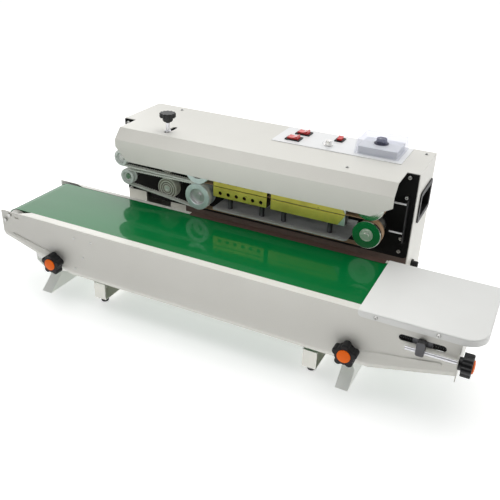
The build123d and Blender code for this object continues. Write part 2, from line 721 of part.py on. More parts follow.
# ---------------------------------------------------------------- cabinet
HANDLE_Y = Y0 + 314.0
HANDLE_Z = 235.0
HANDLE_SIZE = (84.0, 52.0)
FAN_XZ = (X0 + 260.0, 190.0)
FUSE_YZ = (Y0 + 290.0, 112.0)
GLAND_XZ = (X0 + 700.0, 90.0)
SHELL_TOP = CAB_TOP - SHEET
with BuildPart() as cabinet_shell:
    with BuildSketch(Plane.XY.offset(CAB_BOTTOM)):
        with BuildLine():
            Polyline(
                (CAB_LEFT, CAB_FRONT + PLATE_THICK),
                (CAB_LEFT, CAB_REAR),
                (CAB_RIGHT, CAB_REAR),
                (CAB_RIGHT, CAB_FRONT + PLATE_THICK),
                (CAB_RIGHT - SHEET, CAB_FRONT + PLATE_THICK),
                (CAB_RIGHT - SHEET, CAB_REAR - SHEET),
                (CAB_LEFT + SHEET, CAB_REAR - SHEET),
                (CAB_LEFT + SHEET, CAB_FRONT + PLATE_THICK),
                close=True,
            )
        make_face()
    extrude(amount=SHELL_TOP - CAB_BOTTOM)
    with BuildSketch(side_plane(CAB_LEFT - 1.0)):
        with Locations((HANDLE_Y, HANDLE_Z)):
            RectangleRounded(HANDLE_SIZE[0] - 6.0, HANDLE_SIZE[1] - 6.0, 4)
    extrude(amount=CAB_RIGHT - CAB_LEFT + 2.0, mode=Mode.SUBTRACT)
    with BuildSketch(side_plane(CAB_RIGHT - 3.0)):
        with Locations(FUSE_YZ):
            Circle(5.0)
    extrude(amount=4.0, mode=Mode.SUBTRACT)
    with BuildSketch(front_plane(CAB_REAR - 3.0)):
        with Locations(FAN_XZ):
            with PolarLocations(14.0, 8):
                Circle(3.4)
            with PolarLocations(24.0, 14):
                Circle(3.4)
            with PolarLocations(33.5, 20):
                Circle(3.4)
        with Locations(GLAND_XZ):
            Circle(5.0)
        with Locations((X0 + 560.0, 200.0)):
            with GridLocations(34.0, 14.0, 4, 6):
                SlotOverall(26.0, 4.0)
    extrude(amount=-5.0, mode=Mode.SUBTRACT)
cabinet_shell.part.label = "cabinet_shell"
export_step(cabinet_shell.part, "parts/cabinet_shell.step")

# Openings that the controls need in the top sheet and in the panel over it.
PRESSURE_SLOT = (PRESSURE_XY[0], Y0 + 222.0)
CONTROLLER_BODY = (74.0, 62.0)


def control_openings(plane):
    """Sketch of the openings for switches, speed control and temperature controller."""
    with BuildSketch(plane) as openings:
        for centre, length, width, turn in ROCKERS:
            with Locations(Location((centre[0], centre[1], 0), (0, 0, turn))):
                Rectangle(length - 3.0, width - 3.0)
        with Locations(SPEED_XY):
            Circle(4.5)
        with Locations(CONTROLLER_XY):
            Rectangle(CONTROLLER_BODY[0] - 14.0, CONTROLLER_BODY[1] - 14.0)
    return openings.sketch


# Top cover: one bent sheet that runs forward as a hood over the upper wheels.
HOOD_PROFILE = [
    (CAB_FRONT, CAB_TOP),
    (HOOD_BEND_Y, CAB_TOP),
    (HOOD_LIP_Y, HOOD_LIP_TOP),
    (HOOD_LIP_Y, HOOD_LIP_BOTTOM),
    (HOOD_LIP_Y + SHEET, HOOD_LIP_BOTTOM),
    (HOOD_LIP_Y + SHEET, HOOD_LIP_TOP - 0.6),
    (HOOD_BEND_Y + 0.5, CAB_TOP - SHEET),
    (CAB_FRONT, CAB_TOP - SHEET),
]
with BuildPart() as top_cover:
    with BuildSketch(side_plane(HOOD_LEFT)) as hood:
        with BuildLine():
            Polyline(*HOOD_PROFILE, close=True)
        make_face()
        fillet(hood.vertices().filter_by_position(Axis.Y, HOOD_LIP_TOP - 1.0, HOOD_LIP_TOP + 1.0), 1.0)
    extrude(amount=HOOD_RIGHT - HOOD_LEFT)
    with BuildSketch(Plane.XY.offset(SHELL_TOP)):
        with BuildLine():
            Polyline(
                (CAB_LEFT, CAB_FRONT + PLATE_THICK),
                (HOOD_LEFT, CAB_FRONT + PLATE_THICK),
                (HOOD_LEFT, CAB_FRONT),
                (HOOD_RIGHT, CAB_FRONT),
                (HOOD_RIGHT, CAB_FRONT + PLATE_THICK),
                (CAB_RIGHT, CAB_FRONT + PLATE_THICK),
                (CAB_RIGHT, CAB_REAR),
                (CAB_LEFT, CAB_REAR),
                close=True,
            )
        make_face()
    extrude(amount=SHEET)
    with BuildSketch(front_plane(HOOD_LIP_Y - 1.0)):
        with BuildLine():
            Polyline(
                (HOOD_LEFT - 1.0, 275.0),
                (HOOD_LEFT, 275.0),
                (HOOD_LEFT + 25.5, HOOD_LIP_BOTTOM),
                (HOOD_LEFT + 25.5, HOOD_LIP_BOTTOM - 1.0),
                (HOOD_LEFT - 1.0, HOOD_LIP_BOTTOM - 1.0),
                close=True,
            )
        make_face()
        with BuildLine():
            Polyline(
                (HOOD_RIGHT + 1.0, 270.0),
                (HOOD_RIGHT, 270.0),
                (HOOD_RIGHT - 36.5, HOOD_LIP_BOTTOM),
                (HOOD_RIGHT - 36.5, HOOD_LIP_BOTTOM - 1.0),
                (HOOD_RIGHT + 1.0, HOOD_LIP_BOTTOM - 1.0),
                close=True,
            )
        make_face()
    extrude(amount=-4.0, mode=Mode.SUBTRACT)
    with BuildSketch(Plane.XY.offset(SHELL_TOP - 1.0)):
        with Locations(PRESSURE_SLOT):
            SlotOverall(40, 10, rotation=90)
    extrude(amount=4.0, mode=Mode.SUBTRACT)
    extrude(control_openings(Plane.XY.offset(SHELL_TOP - 1.0)), amount=4.0, mode=Mode.SUBTRACT)
top_cover.part.label = "top_cover"
export_step(top_cover.part, "parts/top_cover.step")

with BuildPart() as control_panel:
    with BuildSketch(Plane.XY.offset(CAB_TOP)):
        with Locations((X0 + 574.0, Y0 + 317.0)):
            RectangleRounded(254.0, 92.0, 2)
    extrude(amount=PANEL_THICK)
    extrude(control_openings(Plane.XY.offset(CAB_TOP - 1.0)), amount=4.0, mode=Mode.SUBTRACT)
    for hinge_x in HINGE_X:
        for lug_x in (hinge_x - 9.0, hinge_x + 7.0):
            with BuildSketch(side_plane(lug_x)):
                with Locations((HINGE_Y, (PANEL_TOP + HINGE_Z) / 2)):
                    Rectangle(3.6, HINGE_Z - PANEL_TOP)
                with Locations((HINGE_Y, HINGE_Z)):
                    Circle(1.8)
            extrude(amount=2.0)
        with BuildSketch(side_plane(hinge_x - 9.0)):
            with Locations((HINGE_Y, HINGE_Z)):
                Circle(0.9)
        extrude(amount=18.0)
control_panel.part.label = "control_panel"
export_step(control_panel.part, "parts/control_panel.step")

# Black plate that carries the whole sealing head, with a screwed tab at each end.
PLATE_BACK = CAB_FRONT + PLATE_THICK
PLATE_BOTTOM = 150.0
WHEEL_CENTRES = [
    (LEFT_WHEEL_X, LOWER_Z),
    (LEFT_WHEEL_X, UPPER_Z),
    (RIGHT_WHEEL_X, LOWER_Z),
    (RIGHT_WHEEL_X, UPPER_Z),
]
BEARING_RADIUS = 13.0
with BuildPart() as mounting_plate:
    with BuildSketch(front_plane(CAB_FRONT)) as plate:
        with BuildLine():
            Polyline(
                (CAB_LEFT + 1.0, PLATE_BOTTOM + 6.0),
                (CAB_LEFT + 1.0, CAB_TOP - 1.0),
                (HOOD_LEFT - 0.3, CAB_TOP - 1.0),
                (HOOD_LEFT - 0.3, SHELL_TOP),
                (HOOD_RIGHT + 0.3, SHELL_TOP),
                (HOOD_RIGHT + 0.3, CAB_TOP - 1.0),
                (CAB_RIGHT - 1.5, CAB_TOP - 1.0),
                (CAB_RIGHT - 1.5, PLATE_BOTTOM),
                (CAB_RIGHT - 7.0, PLATE_BOTTOM - 4.0),
                (CAB_LEFT + 60.0, PLATE_BOTTOM - 4.0),
                (CAB_LEFT + 60.0, PLATE_BOTTOM + 6.0),
                close=True,
            )
        make_face()
        with Locations(*WHEEL_CENTRES):
            Circle(BEARING_RADIUS, mode=Mode.SUBTRACT)
    extrude(amount=-PLATE_THICK)
mounting_plate.part.label = "mounting_plate"
export_step(mounting_plate.part, "parts/mounting_plate.step")

# Carrying handles let into both side walls: a flanged frame with a shallow closed cup.
CUP_DEPTH = 16.0
with BuildPart() as side_handles:
    for wall_x, outward in ((CAB_LEFT, -1), (CAB_RIGHT, 1)):
        with BuildSketch(side_plane(wall_x)):
            with Locations((HANDLE_Y, HANDLE_Z)):
                RectangleRounded(HANDLE_SIZE[0] + 8.0, HANDLE_SIZE[1] + 8.0, 7)
        extrude(amount=outward * 2.5)
        with BuildSketch(side_plane(wall_x)):
            with Locations((HANDLE_Y, HANDLE_Z)):
                RectangleRounded(HANDLE_SIZE[0] - 6.4, HANDLE_SIZE[1] - 6.4, 4)
        extrude(amount=-outward * CUP_DEPTH)
        with BuildSketch(side_plane(wall_x + outward * 3.0)):
            with Locations((HANDLE_Y, HANDLE_Z)):
                RectangleRounded(HANDLE_SIZE[0] - 11.0, HANDLE_SIZE[1] - 11.0, 3)
        extrude(amount=-outward * (CUP_DEPTH + 1.0), mode=Mode.SUBTRACT)
side_handles.part.label = "side_handles"
export_step(side_handles.part, "parts/side_handles.step")

# Screws of the cabinet: plate tabs, plate edges, hood and rear wall.
PLATE_SCREWS = []
for z in (302.0, 264.0, 184.0, 158.0):
    PLATE_SCREWS.append((CAB_RIGHT - 17.0, z))
    PLATE_SCREWS.append((CAB_LEFT + 9.0, z))
HOOD_SCREWS = [(X0 + 621.7, Y0 + 208.3), (X0 + 200.0, Y0 + 350.0), (X0 + 728.0, Y0 + 350.0)]
REAR_SCREWS = [(x, z) for x in (CAB_LEFT + 14.0, X0 + 436.0, CAB_RIGHT - 14.0) for z in (66.0, 296.0)]
with BuildPart() as cabinet_screws:
    with BuildSketch(front_plane(CAB_FRONT)):
        with Locations(*PLATE_SCREWS):
            Circle(3.8)
    extrude(amount=2.4, taper=22)
    with BuildSketch(Plane.XY.offset(CAB_TOP)):
        with Locations(*HOOD_SCREWS):
            Circle(3.4)
    extrude(amount=1.8, taper=25)
    with BuildSketch(front_plane(CAB_REAR)):
        with Locations(*REAR_SCREWS):
            Circle(3.4)
    extrude(amount=-1.8, taper=25)
cabinet_screws.part.label = "cabinet_screws"
export_step(cabinet_screws.part, "parts/cabinet_screws.step")

# Fuse holder on the right wall and the gland of the mains lead on the rear wall.
with BuildPart() as electric_fittings:
    with BuildSketch(side_plane(CAB_RIGHT)):
        with Locations(FUSE_YZ):
            RegularPolygon(9.0, 6)
    extrude(amount=4.0)
    with BuildSketch(side_plane(CAB_RIGHT + 4.0)):
        with Locations(FUSE_YZ):
            Circle(6.5)
    extrude(amount=9.0)
    with BuildSketch(side_plane(CAB_RIGHT)):
        with Locations(FUSE_YZ):
            Circle(4.9)
    extrude(amount=-14.0)
    with BuildSketch(front_plane(CAB_REAR)):
        with Locations(GLAND_XZ):
            RegularPolygon(8.5, 6)
            Circle(3.4, mode=Mode.SUBTRACT)
    extrude(amount=-5.0)
    with BuildSketch(front_plane(CAB_REAR)):
        with Locations(GLAND_XZ):
            Circle(4.9)
            Circle(3.4, mode=Mode.SUBTRACT)
    extrude(amount=10.0)
electric_fittings.part.label = "electric_fittings"
export_step(electric_fittings.part, "parts/electric_fittings.step")

# Cooling fan behind the rear wall: square frame with a hub post, and its rotor.
FAN_BACK = CAB_REAR - SHEET
FAN_DEPTH = 25.0
with BuildPart() as fan_frame:
    with BuildSketch(front_plane(FAN_BACK)):
        with Locations(FAN_XZ):
            RectangleRounded(80, 80, 4)
            Circle(37.5, mode=Mode.SUBTRACT)
    extrude(amount=FAN_DEPTH)
    with BuildSketch(front_plane(FAN_BACK - FAN_DEPTH)):
        with Locations(FAN_XZ):
            Rectangle(78, 7)
            Rectangle(7, 78)
            Circle(15)
    extrude(amount=-3.0)
    with BuildSketch(front_plane(FAN_BACK - FAN_DEPTH)):
        with Locations(FAN_XZ):
            Circle(2.5)
    extrude(amount=-FAN_DEPTH + 5.0)
fan_frame.part.label = "fan_frame"
export_step(fan_frame.part, "parts/fan_frame.step")

with BuildPart() as fan_rotor:
    with BuildSketch(front_plane(FAN_BACK - FAN_DEPTH + 4.0)):
        with Locations(FAN_XZ):
            Circle(14)
            Circle(2.5 + RUN_FIT, mode=Mode.SUBTRACT)
    extrude(amount=-17.0)
    with BuildSketch(front_plane(FAN_BACK - FAN_DEPTH + 6.0)):
        with Locations(FAN_XZ):
            with PolarLocations(24.0, 7):
                RectangleRounded(23, 5, 2, rotation=18)
    extrude(amount=-13.0)
fan_rotor.part.label = "fan_rotor"
export_step(fan_rotor.part, "parts/fan_rotor.step")

# ---------------------------------------------------------------- sealing head
# Flanged bearings of the four wheels, and the shouldered axles of the four pulleys with a head
# in front of each pulley.
AXLE_HEAD = 2.4
SMALL_SEAT = (WHEEL_FACE_Y + 6.0, WHEEL_FACE_Y + 14.0)
MID_SEAT = (MID_FACE_Y + 3.0, MID_FACE_Y + 16.0)
AXLES = [
    (SMALL_LOWER, *SMALL_SEAT),
    (SMALL_UPPER, *SMALL_SEAT),
    ((MID_X, MID_LOWER_Z), *MID_SEAT),
    ((MID_X, MID_UPPER_Z), *MID_SEAT),
]
with BuildPart() as head_bearings:
    with BuildSketch(front_plane(PLATE_BACK)):
        with Locations(*WHEEL_CENTRES):
            Circle(BEARING_RADIUS)
            Circle(WHEEL_SHAFT_RADIUS + RUN_FIT, mode=Mode.SUBTRACT)
    extrude(amount=PLATE_THICK + 14.0)
    with BuildSketch(front_plane(CAB_FRONT)):
        with Locations(*WHEEL_CENTRES):
            Circle(20.0)
            Circle(WHEEL_SHAFT_RADIUS + RUN_FIT, mode=Mode.SUBTRACT)
    extrude(amount=5.0)
    for centre, seat, back in AXLES:
        with BuildSketch(turning_plane(*centre)):
            with BuildLine():
                Polyline(
                    (seat - 0.4 - AXLE_HEAD, 0),
                    (seat - 0.4 - AXLE_HEAD, 5.2),
                    (seat - 0.4, 6.4),
                    (seat - 0.4, AXLE_RADIUS),
                    (back + 0.4, AXLE_RADIUS),
                    (back + 0.4, 7.5),
                    (CAB_FRONT, 7.5),
                    (CAB_FRONT, 0),
                    close=True,
                )
            make_face()
        revolve(axis=turning_axis(*centre))
head_bearings.part.label = "head_bearings"
export_step(head_bearings.part, "parts/head_bearings.step")


def build_left_wheel(z):
    """Sealing wheel of the infeed side: front flange, guide belt track, band track and shaft."""
    with BuildPart() as wheel:
        with BuildSketch(turning_plane(LEFT_WHEEL_X, z)):
            with BuildLine():
                Polyline(
                    (WHEEL_FACE_Y + 9.0, 0),
                    (WHEEL_FACE_Y + 3.0, 0),
                    (WHEEL_FACE_Y + 3.0, 5.5),
                    (WHEEL_FACE_Y + 7.0, 5.5),
                    (WHEEL_FACE_Y + 7.0, 15.5),
                    (WHEEL_FACE_Y + 0.6, 16.0),
                    (WHEEL_FACE_Y, 16.8),
                    (WHEEL_FACE_Y, 25.8),
                    (WHEEL_FACE_Y + 0.8, 26.6),
                    (WHEEL_FACE_Y + 2.0, 26.6),
                    (WHEEL_FACE_Y + 2.0, GUIDE_TRACK),
                    (WHEEL_FACE_Y + 12.0, GUIDE_TRACK),
                    (WHEEL_FACE_Y + 12.0, WHEEL_RADIUS),
                    (WHEEL_REAR, WHEEL_RADIUS),
                    (WHEEL_REAR, 10.0),
                    (WHEEL_REAR + 8.0, 10.0),
                    (WHEEL_REAR + 8.0, WHEEL_SHAFT_RADIUS),
                    (CAB_FRONT + 34.0, WHEEL_SHAFT_RADIUS),
                    (CAB_FRONT + 34.0, 0),
                    close=True,
                )
            make_face()
        revolve(axis=turning_axis(LEFT_WHEEL_X, z))
    return wheel


def build_right_wheel(z):
    """Sealing wheel of the outfeed side: polished face, band track and a long driven shaft."""
    with BuildPart() as wheel:
        with BuildSketch(turning_plane(RIGHT_WHEEL_X, z)):
            with BuildLine():
                Polyline(
                    (RIGHT_FACE_Y - 3.0, 0),
                    (RIGHT_FACE_Y - 3.0, 4.0),
                    (RIGHT_FACE_Y - 0.5, 5.0),
                    (RIGHT_FACE_Y - 0.5, 8.5),
                    (RIGHT_FACE_Y + 1.0, 9.0),
                    (RIGHT_FACE_Y + 1.0, 11.5),
                    (RIGHT_FACE_Y, 12.0),
                    (RIGHT_FACE_Y, 25.3),
                    (RIGHT_FACE_Y + 0.8, WHEEL_RADIUS),
                    (WHEEL_REAR, WHEEL_RADIUS),
                    (WHEEL_REAR, 10.0),
                    (WHEEL_REAR + 8.0, 10.0),
                    (WHEEL_REAR + 8.0, WHEEL_SHAFT_RADIUS),
                    (GEAR_FRONT + GEAR_WIDTH + 6.0, WHEEL_SHAFT_RADIUS),
                    (GEAR_FRONT + GEAR_WIDTH + 6.0, 0),
                    close=True,
                )
            make_face()
        revolve(axis=turning_axis(RIGHT_WHEEL_X, z))
    return wheel


lower_left_wheel = build_left_wheel(LOWER_Z)
lower_left_wheel.part.label = "lower_left_wheel"
export_step(lower_left_wheel.part, "parts/lower_left_wheel.step")

upper_left_wheel = build_left_wheel(UPPER_Z)
upper_left_wheel.part.label = "upper_left_wheel"
export_step(upper_left_wheel.part, "parts/upper_left_wheel.step")

lower_right_wheel = build_right_wheel(LOWER_Z)
lower_right_wheel.part.label = "lower_right_wheel"
export_step(lower_right_wheel.part, "parts/lower_right_wheel.step")

upper_right_wheel = build_right_wheel(UPPER_Z)
upper_right_wheel.part.label = "upper_right_wheel"
export_step(upper_right_wheel.part, "parts/upper_right_wheel.step")


def build_gear(z, phase):
    """Spur gear on a sealing wheel's shaft; phase turns it by half a tooth for the mesh."""
    outline = gear_outline(GEAR_TEETH, GEAR_MODULE, 0.2, phase)
    with BuildPart() as gear:
        with BuildSketch(front_plane(GEAR_FRONT)):
            with BuildLine():
                Polyline(*[(RIGHT_WHEEL_X + x, z + y) for x, y in outline], close=True)
            make_face()
            with Locations((RIGHT_WHEEL_X, z)):
                Circle(WHEEL_SHAFT_RADIUS, mode=Mode.SUBTRACT)
                with PolarLocations(15.0, 5):
                    Circle(4.0, mode=Mode.SUBTRACT)
        extrude(amount=-GEAR_WIDTH)
    return gear


lower_gear = build_gear(LOWER_Z, 0.0)
lower_gear.part.label = "lower_gear"
export_step(lower_gear.part, "parts/lower_gear.step")

upper_gear = build_gear(UPPER_Z, 180.0 / GEAR_TEETH)
upper_gear.part.label = "upper_gear"
export_step(upper_gear.part, "parts/upper_gear.step")

# Gearmotor in line with the lower driven shaft, on a bracket that stands on the floor pan.
MOTOR_FRONT = GEAR_FRONT + GEAR_WIDTH + 6.5
with BuildPart() as gearmotor:
    with BuildSketch(front_plane(MOTOR_FRONT)):
        with Locations((RIGHT_WHEEL_X, LOWER_Z)):
            RectangleRounded(62, 62, 6)
    extrude(amount=-36.0)
    with BuildSketch(front_plane(MOTOR_FRONT + 36.0)):
        with Locations((RIGHT_WHEEL_X, LOWER_Z)):
            Circle(27)
    extrude(amount=-50.0)
    with BuildSketch(Plane.XY.offset(CAB_BOTTOM + SHEET)):
        with Locations((RIGHT_WHEEL_X, MOTOR_FRONT + 16.0)):
            Rectangle(80, 44)
    extrude(amount=4.0)
    with BuildSketch(Plane.XY.offset(CAB_BOTTOM + SHEET)):
        with Locations((RIGHT_WHEEL_X, MOTOR_FRONT + 3.0)):
            Rectangle(62, 6)
    extrude(amount=LOWER_Z - CAB_BOTTOM - SHEET - 20.0)
gearmotor.part.label = "gearmotor"
export_step(gearmotor.part, "parts/gearmotor.step")

# Sealing bands: two thin endless bands whose inner runs travel together in the sealing plane.
with BuildPart() as seal_bands:
    for z in (LOWER_Z, UPPER_Z):
        inner = WHEEL_RADIUS + BELT_FIT
        with BuildSketch(front_plane(BAND_FRONT)):
            belt_sketch((LEFT_WHEEL_X, z), inner + BAND_THICK, (RIGHT_WHEEL_X, z), inner + BAND_THICK)
            belt_sketch((LEFT_WHEEL_X, z), inner, (RIGHT_WHEEL_X, z), inner, mode=Mode.SUBTRACT)
        extrude(amount=-BAND_WIDTH)
seal_bands.part.label = "seal_bands"
export_step(seal_bands.part, "parts/seal_bands.step")

# Guide belts that lead the bag's mouth in between the small pulleys and the left wheels.
with BuildPart() as guide_belts:
    for z, small in ((LOWER_Z, SMALL_LOWER), (UPPER_Z, SMALL_UPPER)):
        wheel_in = GUIDE_TRACK + BELT_FIT
        small_in = PULLEY_TRACK + BELT_FIT
        wheel = (LEFT_WHEEL_X, z)
        with BuildSketch(front_plane(GUIDE_FRONT)):
            belt_sketch(small, small_in + GUIDE_THICK, wheel, wheel_in + GUIDE_THICK)
            belt_sketch(small, small_in, wheel, wheel_in, mode=Mode.SUBTRACT)
        extrude(amount=-GUIDE_WIDTH)
guide_belts.part.label = "guide_belts"
export_step(guide_belts.part, "parts/guide_belts.step")


def build_small_pulley(centre):
    """Flanged end pulley of a guide belt, with a deep dish in its face."""
    with BuildPart() as pulley:
        with BuildSketch(turning_plane(*centre)):
            with BuildLine():
                Polyline(
                    (WHEEL_FACE_Y + 6.0, AXLE_RADIUS + RUN_FIT),
                    (WHEEL_FACE_Y + 6.0, 9.6),
                    (WHEEL_FACE_Y, 10.4),
                    (WHEEL_FACE_Y, 14.6),
                    (WHEEL_FACE_Y + 0.6, 15.2),
                    (WHEEL_FACE_Y + 2.0, 15.2),
                    (WHEEL_FACE_Y + 2.0, PULLEY_TRACK),
                    (WHEEL_FACE_Y + 12.0, PULLEY_TRACK),
                    (WHEEL_FACE_Y + 12.0, 15.2),
                    (WHEEL_FACE_Y + 14.0, 15.2),
                    (WHEEL_FACE_Y + 14.0, AXLE_RADIUS + RUN_FIT),
                    close=True,
                )
            make_face()
        revolve(axis=turning_axis(*centre))
    return pulley


def build_mid_pulley(z):
    """Plain wide roller that supports the guide belt half way along its run."""
    with BuildPart() as pulley:
        with BuildSketch(turning_plane(MID_X, z)):
            with BuildLine():
                Polyline(
                    (MID_FACE_Y + 3.0, AXLE_RADIUS + RUN_FIT),
                    (MID_FACE_Y + 3.0, 8.0),
                    (MID_FACE_Y, 9.0),
                    (MID_FACE_Y, 13.0),
                    (MID_FACE_Y + 1.2, 13.8),
                    (MID_FACE_Y + 1.2, 17.0),
                    (MID_FACE_Y, 17.8),
                    (MID_FACE_Y, MID_RADIUS - 0.8),
                    (MID_FACE_Y + 0.8, MID_RADIUS),
                    (MID_FACE_Y + 16.0, MID_RADIUS),
                    (MID_FACE_Y + 16.0, AXLE_RADIUS + RUN_FIT),
                    close=True,
                )
            make_face()
        revolve(axis=turning_axis(MID_X, z))
    return pulley


small_pulley_lower = build_small_pulley(SMALL_LOWER)
small_pulley_lower.part.label = "small_pulley_lower"
export_step(small_pulley_lower.part, "parts/small_pulley_lower.step")

small_pulley_upper = build_small_pulley(SMALL_UPPER)
small_pulley_upper.part.label = "small_pulley_upper"
export_step(small_pulley_upper.part, "parts/small_pulley_upper.step")

mid_pulley_lower = build_mid_pulley(MID_LOWER_Z)
mid_pulley_lower.part.label = "mid_pulley_lower"
export_step(mid_pulley_lower.part, "parts/mid_pulley_lower.step")

mid_pulley_upper = build_mid_pulley(MID_UPPER_Z)
mid_pulley_upper.part.label = "mid_pulley_upper"
export_step(mid_pulley_upper.part, "parts/mid_pulley_upper.step")

# Carriers: a shelf below the lower blocks and its mirror image above the upper blocks.
CARRIER_LEFT = X0 + 372.0
CARRIER_RIGHT = X0 + 645.0
with BuildPart() as block_carriers:
    for shelf_z, rise in ((CARRIER_TOP, 1), (2 * SEAL_Z - CARRIER_TOP, -1)):
        with BuildSketch(Plane.XY.offset(shelf_z)) as shelf:
            with Locations(((CARRIER_LEFT + CARRIER_RIGHT) / 2, (Y0 + 172.0 + CAB_FRONT) / 2)):
                Rectangle(CARRIER_RIGHT - CARRIER_LEFT, CAB_FRONT - Y0 - 172.0)
            fillet(shelf.vertices().group_by(Axis.Y)[0], 7)
            with Locations(*[(x + 22.0, Y0 + 180.0) for x in POST_X]):
                SlotOverall(7, 3, mode=Mode.SUBTRACT)
        extrude(amount=-rise * SHEET)
        with BuildSketch(front_plane(CAB_FRONT)):
            with Locations(((CARRIER_LEFT + CARRIER_RIGHT) / 2, shelf_z + rise * 6.0)):
                Rectangle(CARRIER_RIGHT - CARRIER_LEFT, 12.0)
        extrude(amount=SHEET)
block_carriers.part.label = "block_carriers"
export_step(block_carriers.part, "parts/block_carriers.step")

# Posts with their springs: the lower blocks float on four of them, the upper ones hang fixed.
BLOCK_TRAVEL = 1.5
LOWER_BLOCK_BOTTOM = BLOCK_TOP - BLOCK_HEIGHT
UPPER_BLOCK_TOP = 2 * SEAL_Z - LOWER_BLOCK_BOTTOM
with BuildPart() as spring_posts:
    with BuildSketch(Plane.XY.offset(CARRIER_TOP)):
        with Locations(*[(x, POST_Y) for x in POST_X]):
            Circle(POST_RADIUS)
    extrude(amount=LOWER_BLOCK_BOTTOM + 7.0 - CARRIER_TOP)
    with BuildSketch(Plane.XY.offset(UPPER_BLOCK_TOP)):
        with Locations(*[(x, POST_Y) for x in POST_X]):
            Circle(POST_RADIUS + 1.0)
    extrude(amount=2 * SEAL_Z - CARRIER_TOP - UPPER_BLOCK_TOP)
    spring_length = LOWER_BLOCK_BOTTOM - BLOCK_TRAVEL - 0.3 - CARRIER_TOP
    coil = coil_profile(spring_length, POST_RADIUS + 1.2, 0.9, 8)
    for x in POST_X:
        with BuildSketch(Plane(origin=(x, POST_Y, CARRIER_TOP), x_dir=(0, 0, 1), z_dir=(0, 1, 0))):
            with BuildLine():
                Polyline((0, 1.0), *coil, (spring_length, 1.0), close=True)
            make_face()
        revolve(axis=Axis((x, POST_Y, CARRIER_TOP), (0, 0, 1)))
spring_posts.part.label = "spring_posts"
export_step(spring_posts.part, "parts/spring_posts.step")


def build_block(left, right, bottom, bores, hole_z):
    """A bar of the sealing head with blind bores for its posts.  A heating block has a row of blind
    holes in its front at hole_z and a bore for its heater; a cooling block, with none, has fins."""
    middle = ((left + right) / 2, (BLOCK_FRONT + BLOCK_REAR) / 2)
    with BuildPart() as block:
        with BuildSketch(Plane.XY.offset(bottom)):
            with Locations(middle):
                Rectangle(right - left, BLOCK_REAR - BLOCK_FRONT)
        extrude(amount=BLOCK_HEIGHT)
        if bores:
            with BuildSketch(Plane.XY.offset(bottom)):
                with Locations(*[(x, POST_Y) for x in bores]):
                    Circle(POST_RADIUS + 2 * RUN_FIT)
            extrude(amount=7.0 + BLOCK_TRAVEL + 0.5, mode=Mode.SUBTRACT)
        if hole_z is None:
            count = int((right - left - 16.0) / 8.0)
            with BuildSketch(front_plane(BLOCK_REAR + 1.0)):
                with Locations(((left + right) / 2, bottom + BLOCK_HEIGHT / 2)):
                    with GridLocations(8.0, 1.0, count, 1):
                        Rectangle(3.0, BLOCK_HEIGHT - 7.0)
            extrude(amount=8.0, mode=Mode.SUBTRACT)
        else:
            with BuildSketch(side_plane(left - 1.0)):
                with Locations((BLOCK_REAR - 6.0, bottom + BLOCK_HEIGHT / 2)):
                    Circle(4.0)
            extrude(amount=right - left + 2.0, mode=Mode.SUBTRACT)
            with BuildSketch(front_plane(BLOCK_FRONT)):
                with Locations(*[(x, hole_z) for x in GUARD_HOLES]):
                    Circle(4.1)
            extrude(amount=-8.0, mode=Mode.SUBTRACT)
    return block


lower_heating_block = build_block(HEAT_LEFT, HEAT_RIGHT, LOWER_BLOCK_BOTTOM, POST_X[:2], LOWER_HOLE_Z)
lower_heating_block.part.label = "lower_heating_block"
export_step(lower_heating_block.part, "parts/lower_heating_block.step")

lower_cooling_block = build_block(COOL_LEFT, COOL_RIGHT, LOWER_BLOCK_BOTTOM, POST_X[2:], None)
lower_cooling_block.part.label = "lower_cooling_block"
export_step(lower_cooling_block.part, "parts/lower_cooling_block.step")

UPPER_BLOCK_BOTTOM = UPPER_BLOCK_TOP - BLOCK_HEIGHT
upper_heating_block = build_block(HEAT_LEFT, HEAT_RIGHT, UPPER_BLOCK_BOTTOM, [], UPPER_HOLE_Z)
upper_heating_block.part.label = "upper_heating_block"
export_step(upper_heating_block.part, "parts/upper_heating_block.step")

upper_cooling_block = build_block(COOL_LEFT, COOL_RIGHT, UPPER_BLOCK_BOTTOM, [], None)
upper_cooling_block.part.label = "upper_cooling_block"
export_step(upper_cooling_block.part, "parts/upper_cooling_block.step")

# Gold guards screwed to the front of the blocks: a perforated one and a plain one, each twice.
GUARD_LEFT, GUARD_MIDDLE = HEAT_LEFT - 1.0, HEAT_RIGHT + 1.0


def perforated_outline(bottom, top, hole_z):
    """Sketch of the perforated guard's plate."""
    middle = ((GUARD_LEFT + GUARD_MIDDLE) / 2, (bottom + top) / 2)
    with Locations(middle):
        Rectangle(GUARD_MIDDLE - GUARD_LEFT, top - bottom)
    with Locations(*[(x, hole_z) for x in GUARD_HOLES]):
        Circle(3.7, mode=Mode.SUBTRACT)


def plain_outline(inner_z, outer_z):
    """Sketch of the plain guard's plate, whose outfeed end is cut on the slant."""
    with BuildLine() as outline:
        Polyline(
            (COOL_LEFT, inner_z),
            (COOL_RIGHT, inner_z),
            (COOL_RIGHT - 12.0, outer_z),
            (COOL_LEFT, outer_z),
            close=True,
        )
    make_face(outline.edges())


GUARD_BOTTOM = LOWER_BLOCK_BOTTOM + 0.8
with BuildPart() as lower_guards:
    with BuildSketch(front_plane(BLOCK_FRONT)):
        perforated_outline(GUARD_BOTTOM, BLOCK_TOP, LOWER_HOLE_Z)
    extrude(amount=SHEET)
    with BuildSketch(front_plane(BLOCK_FRONT)):
        plain_outline(BLOCK_TOP, GUARD_BOTTOM)
    extrude(amount=SHEET)
lower_guards.part.label = "lower_guards"
export_step(lower_guards.part, "parts/lower_guards.step")

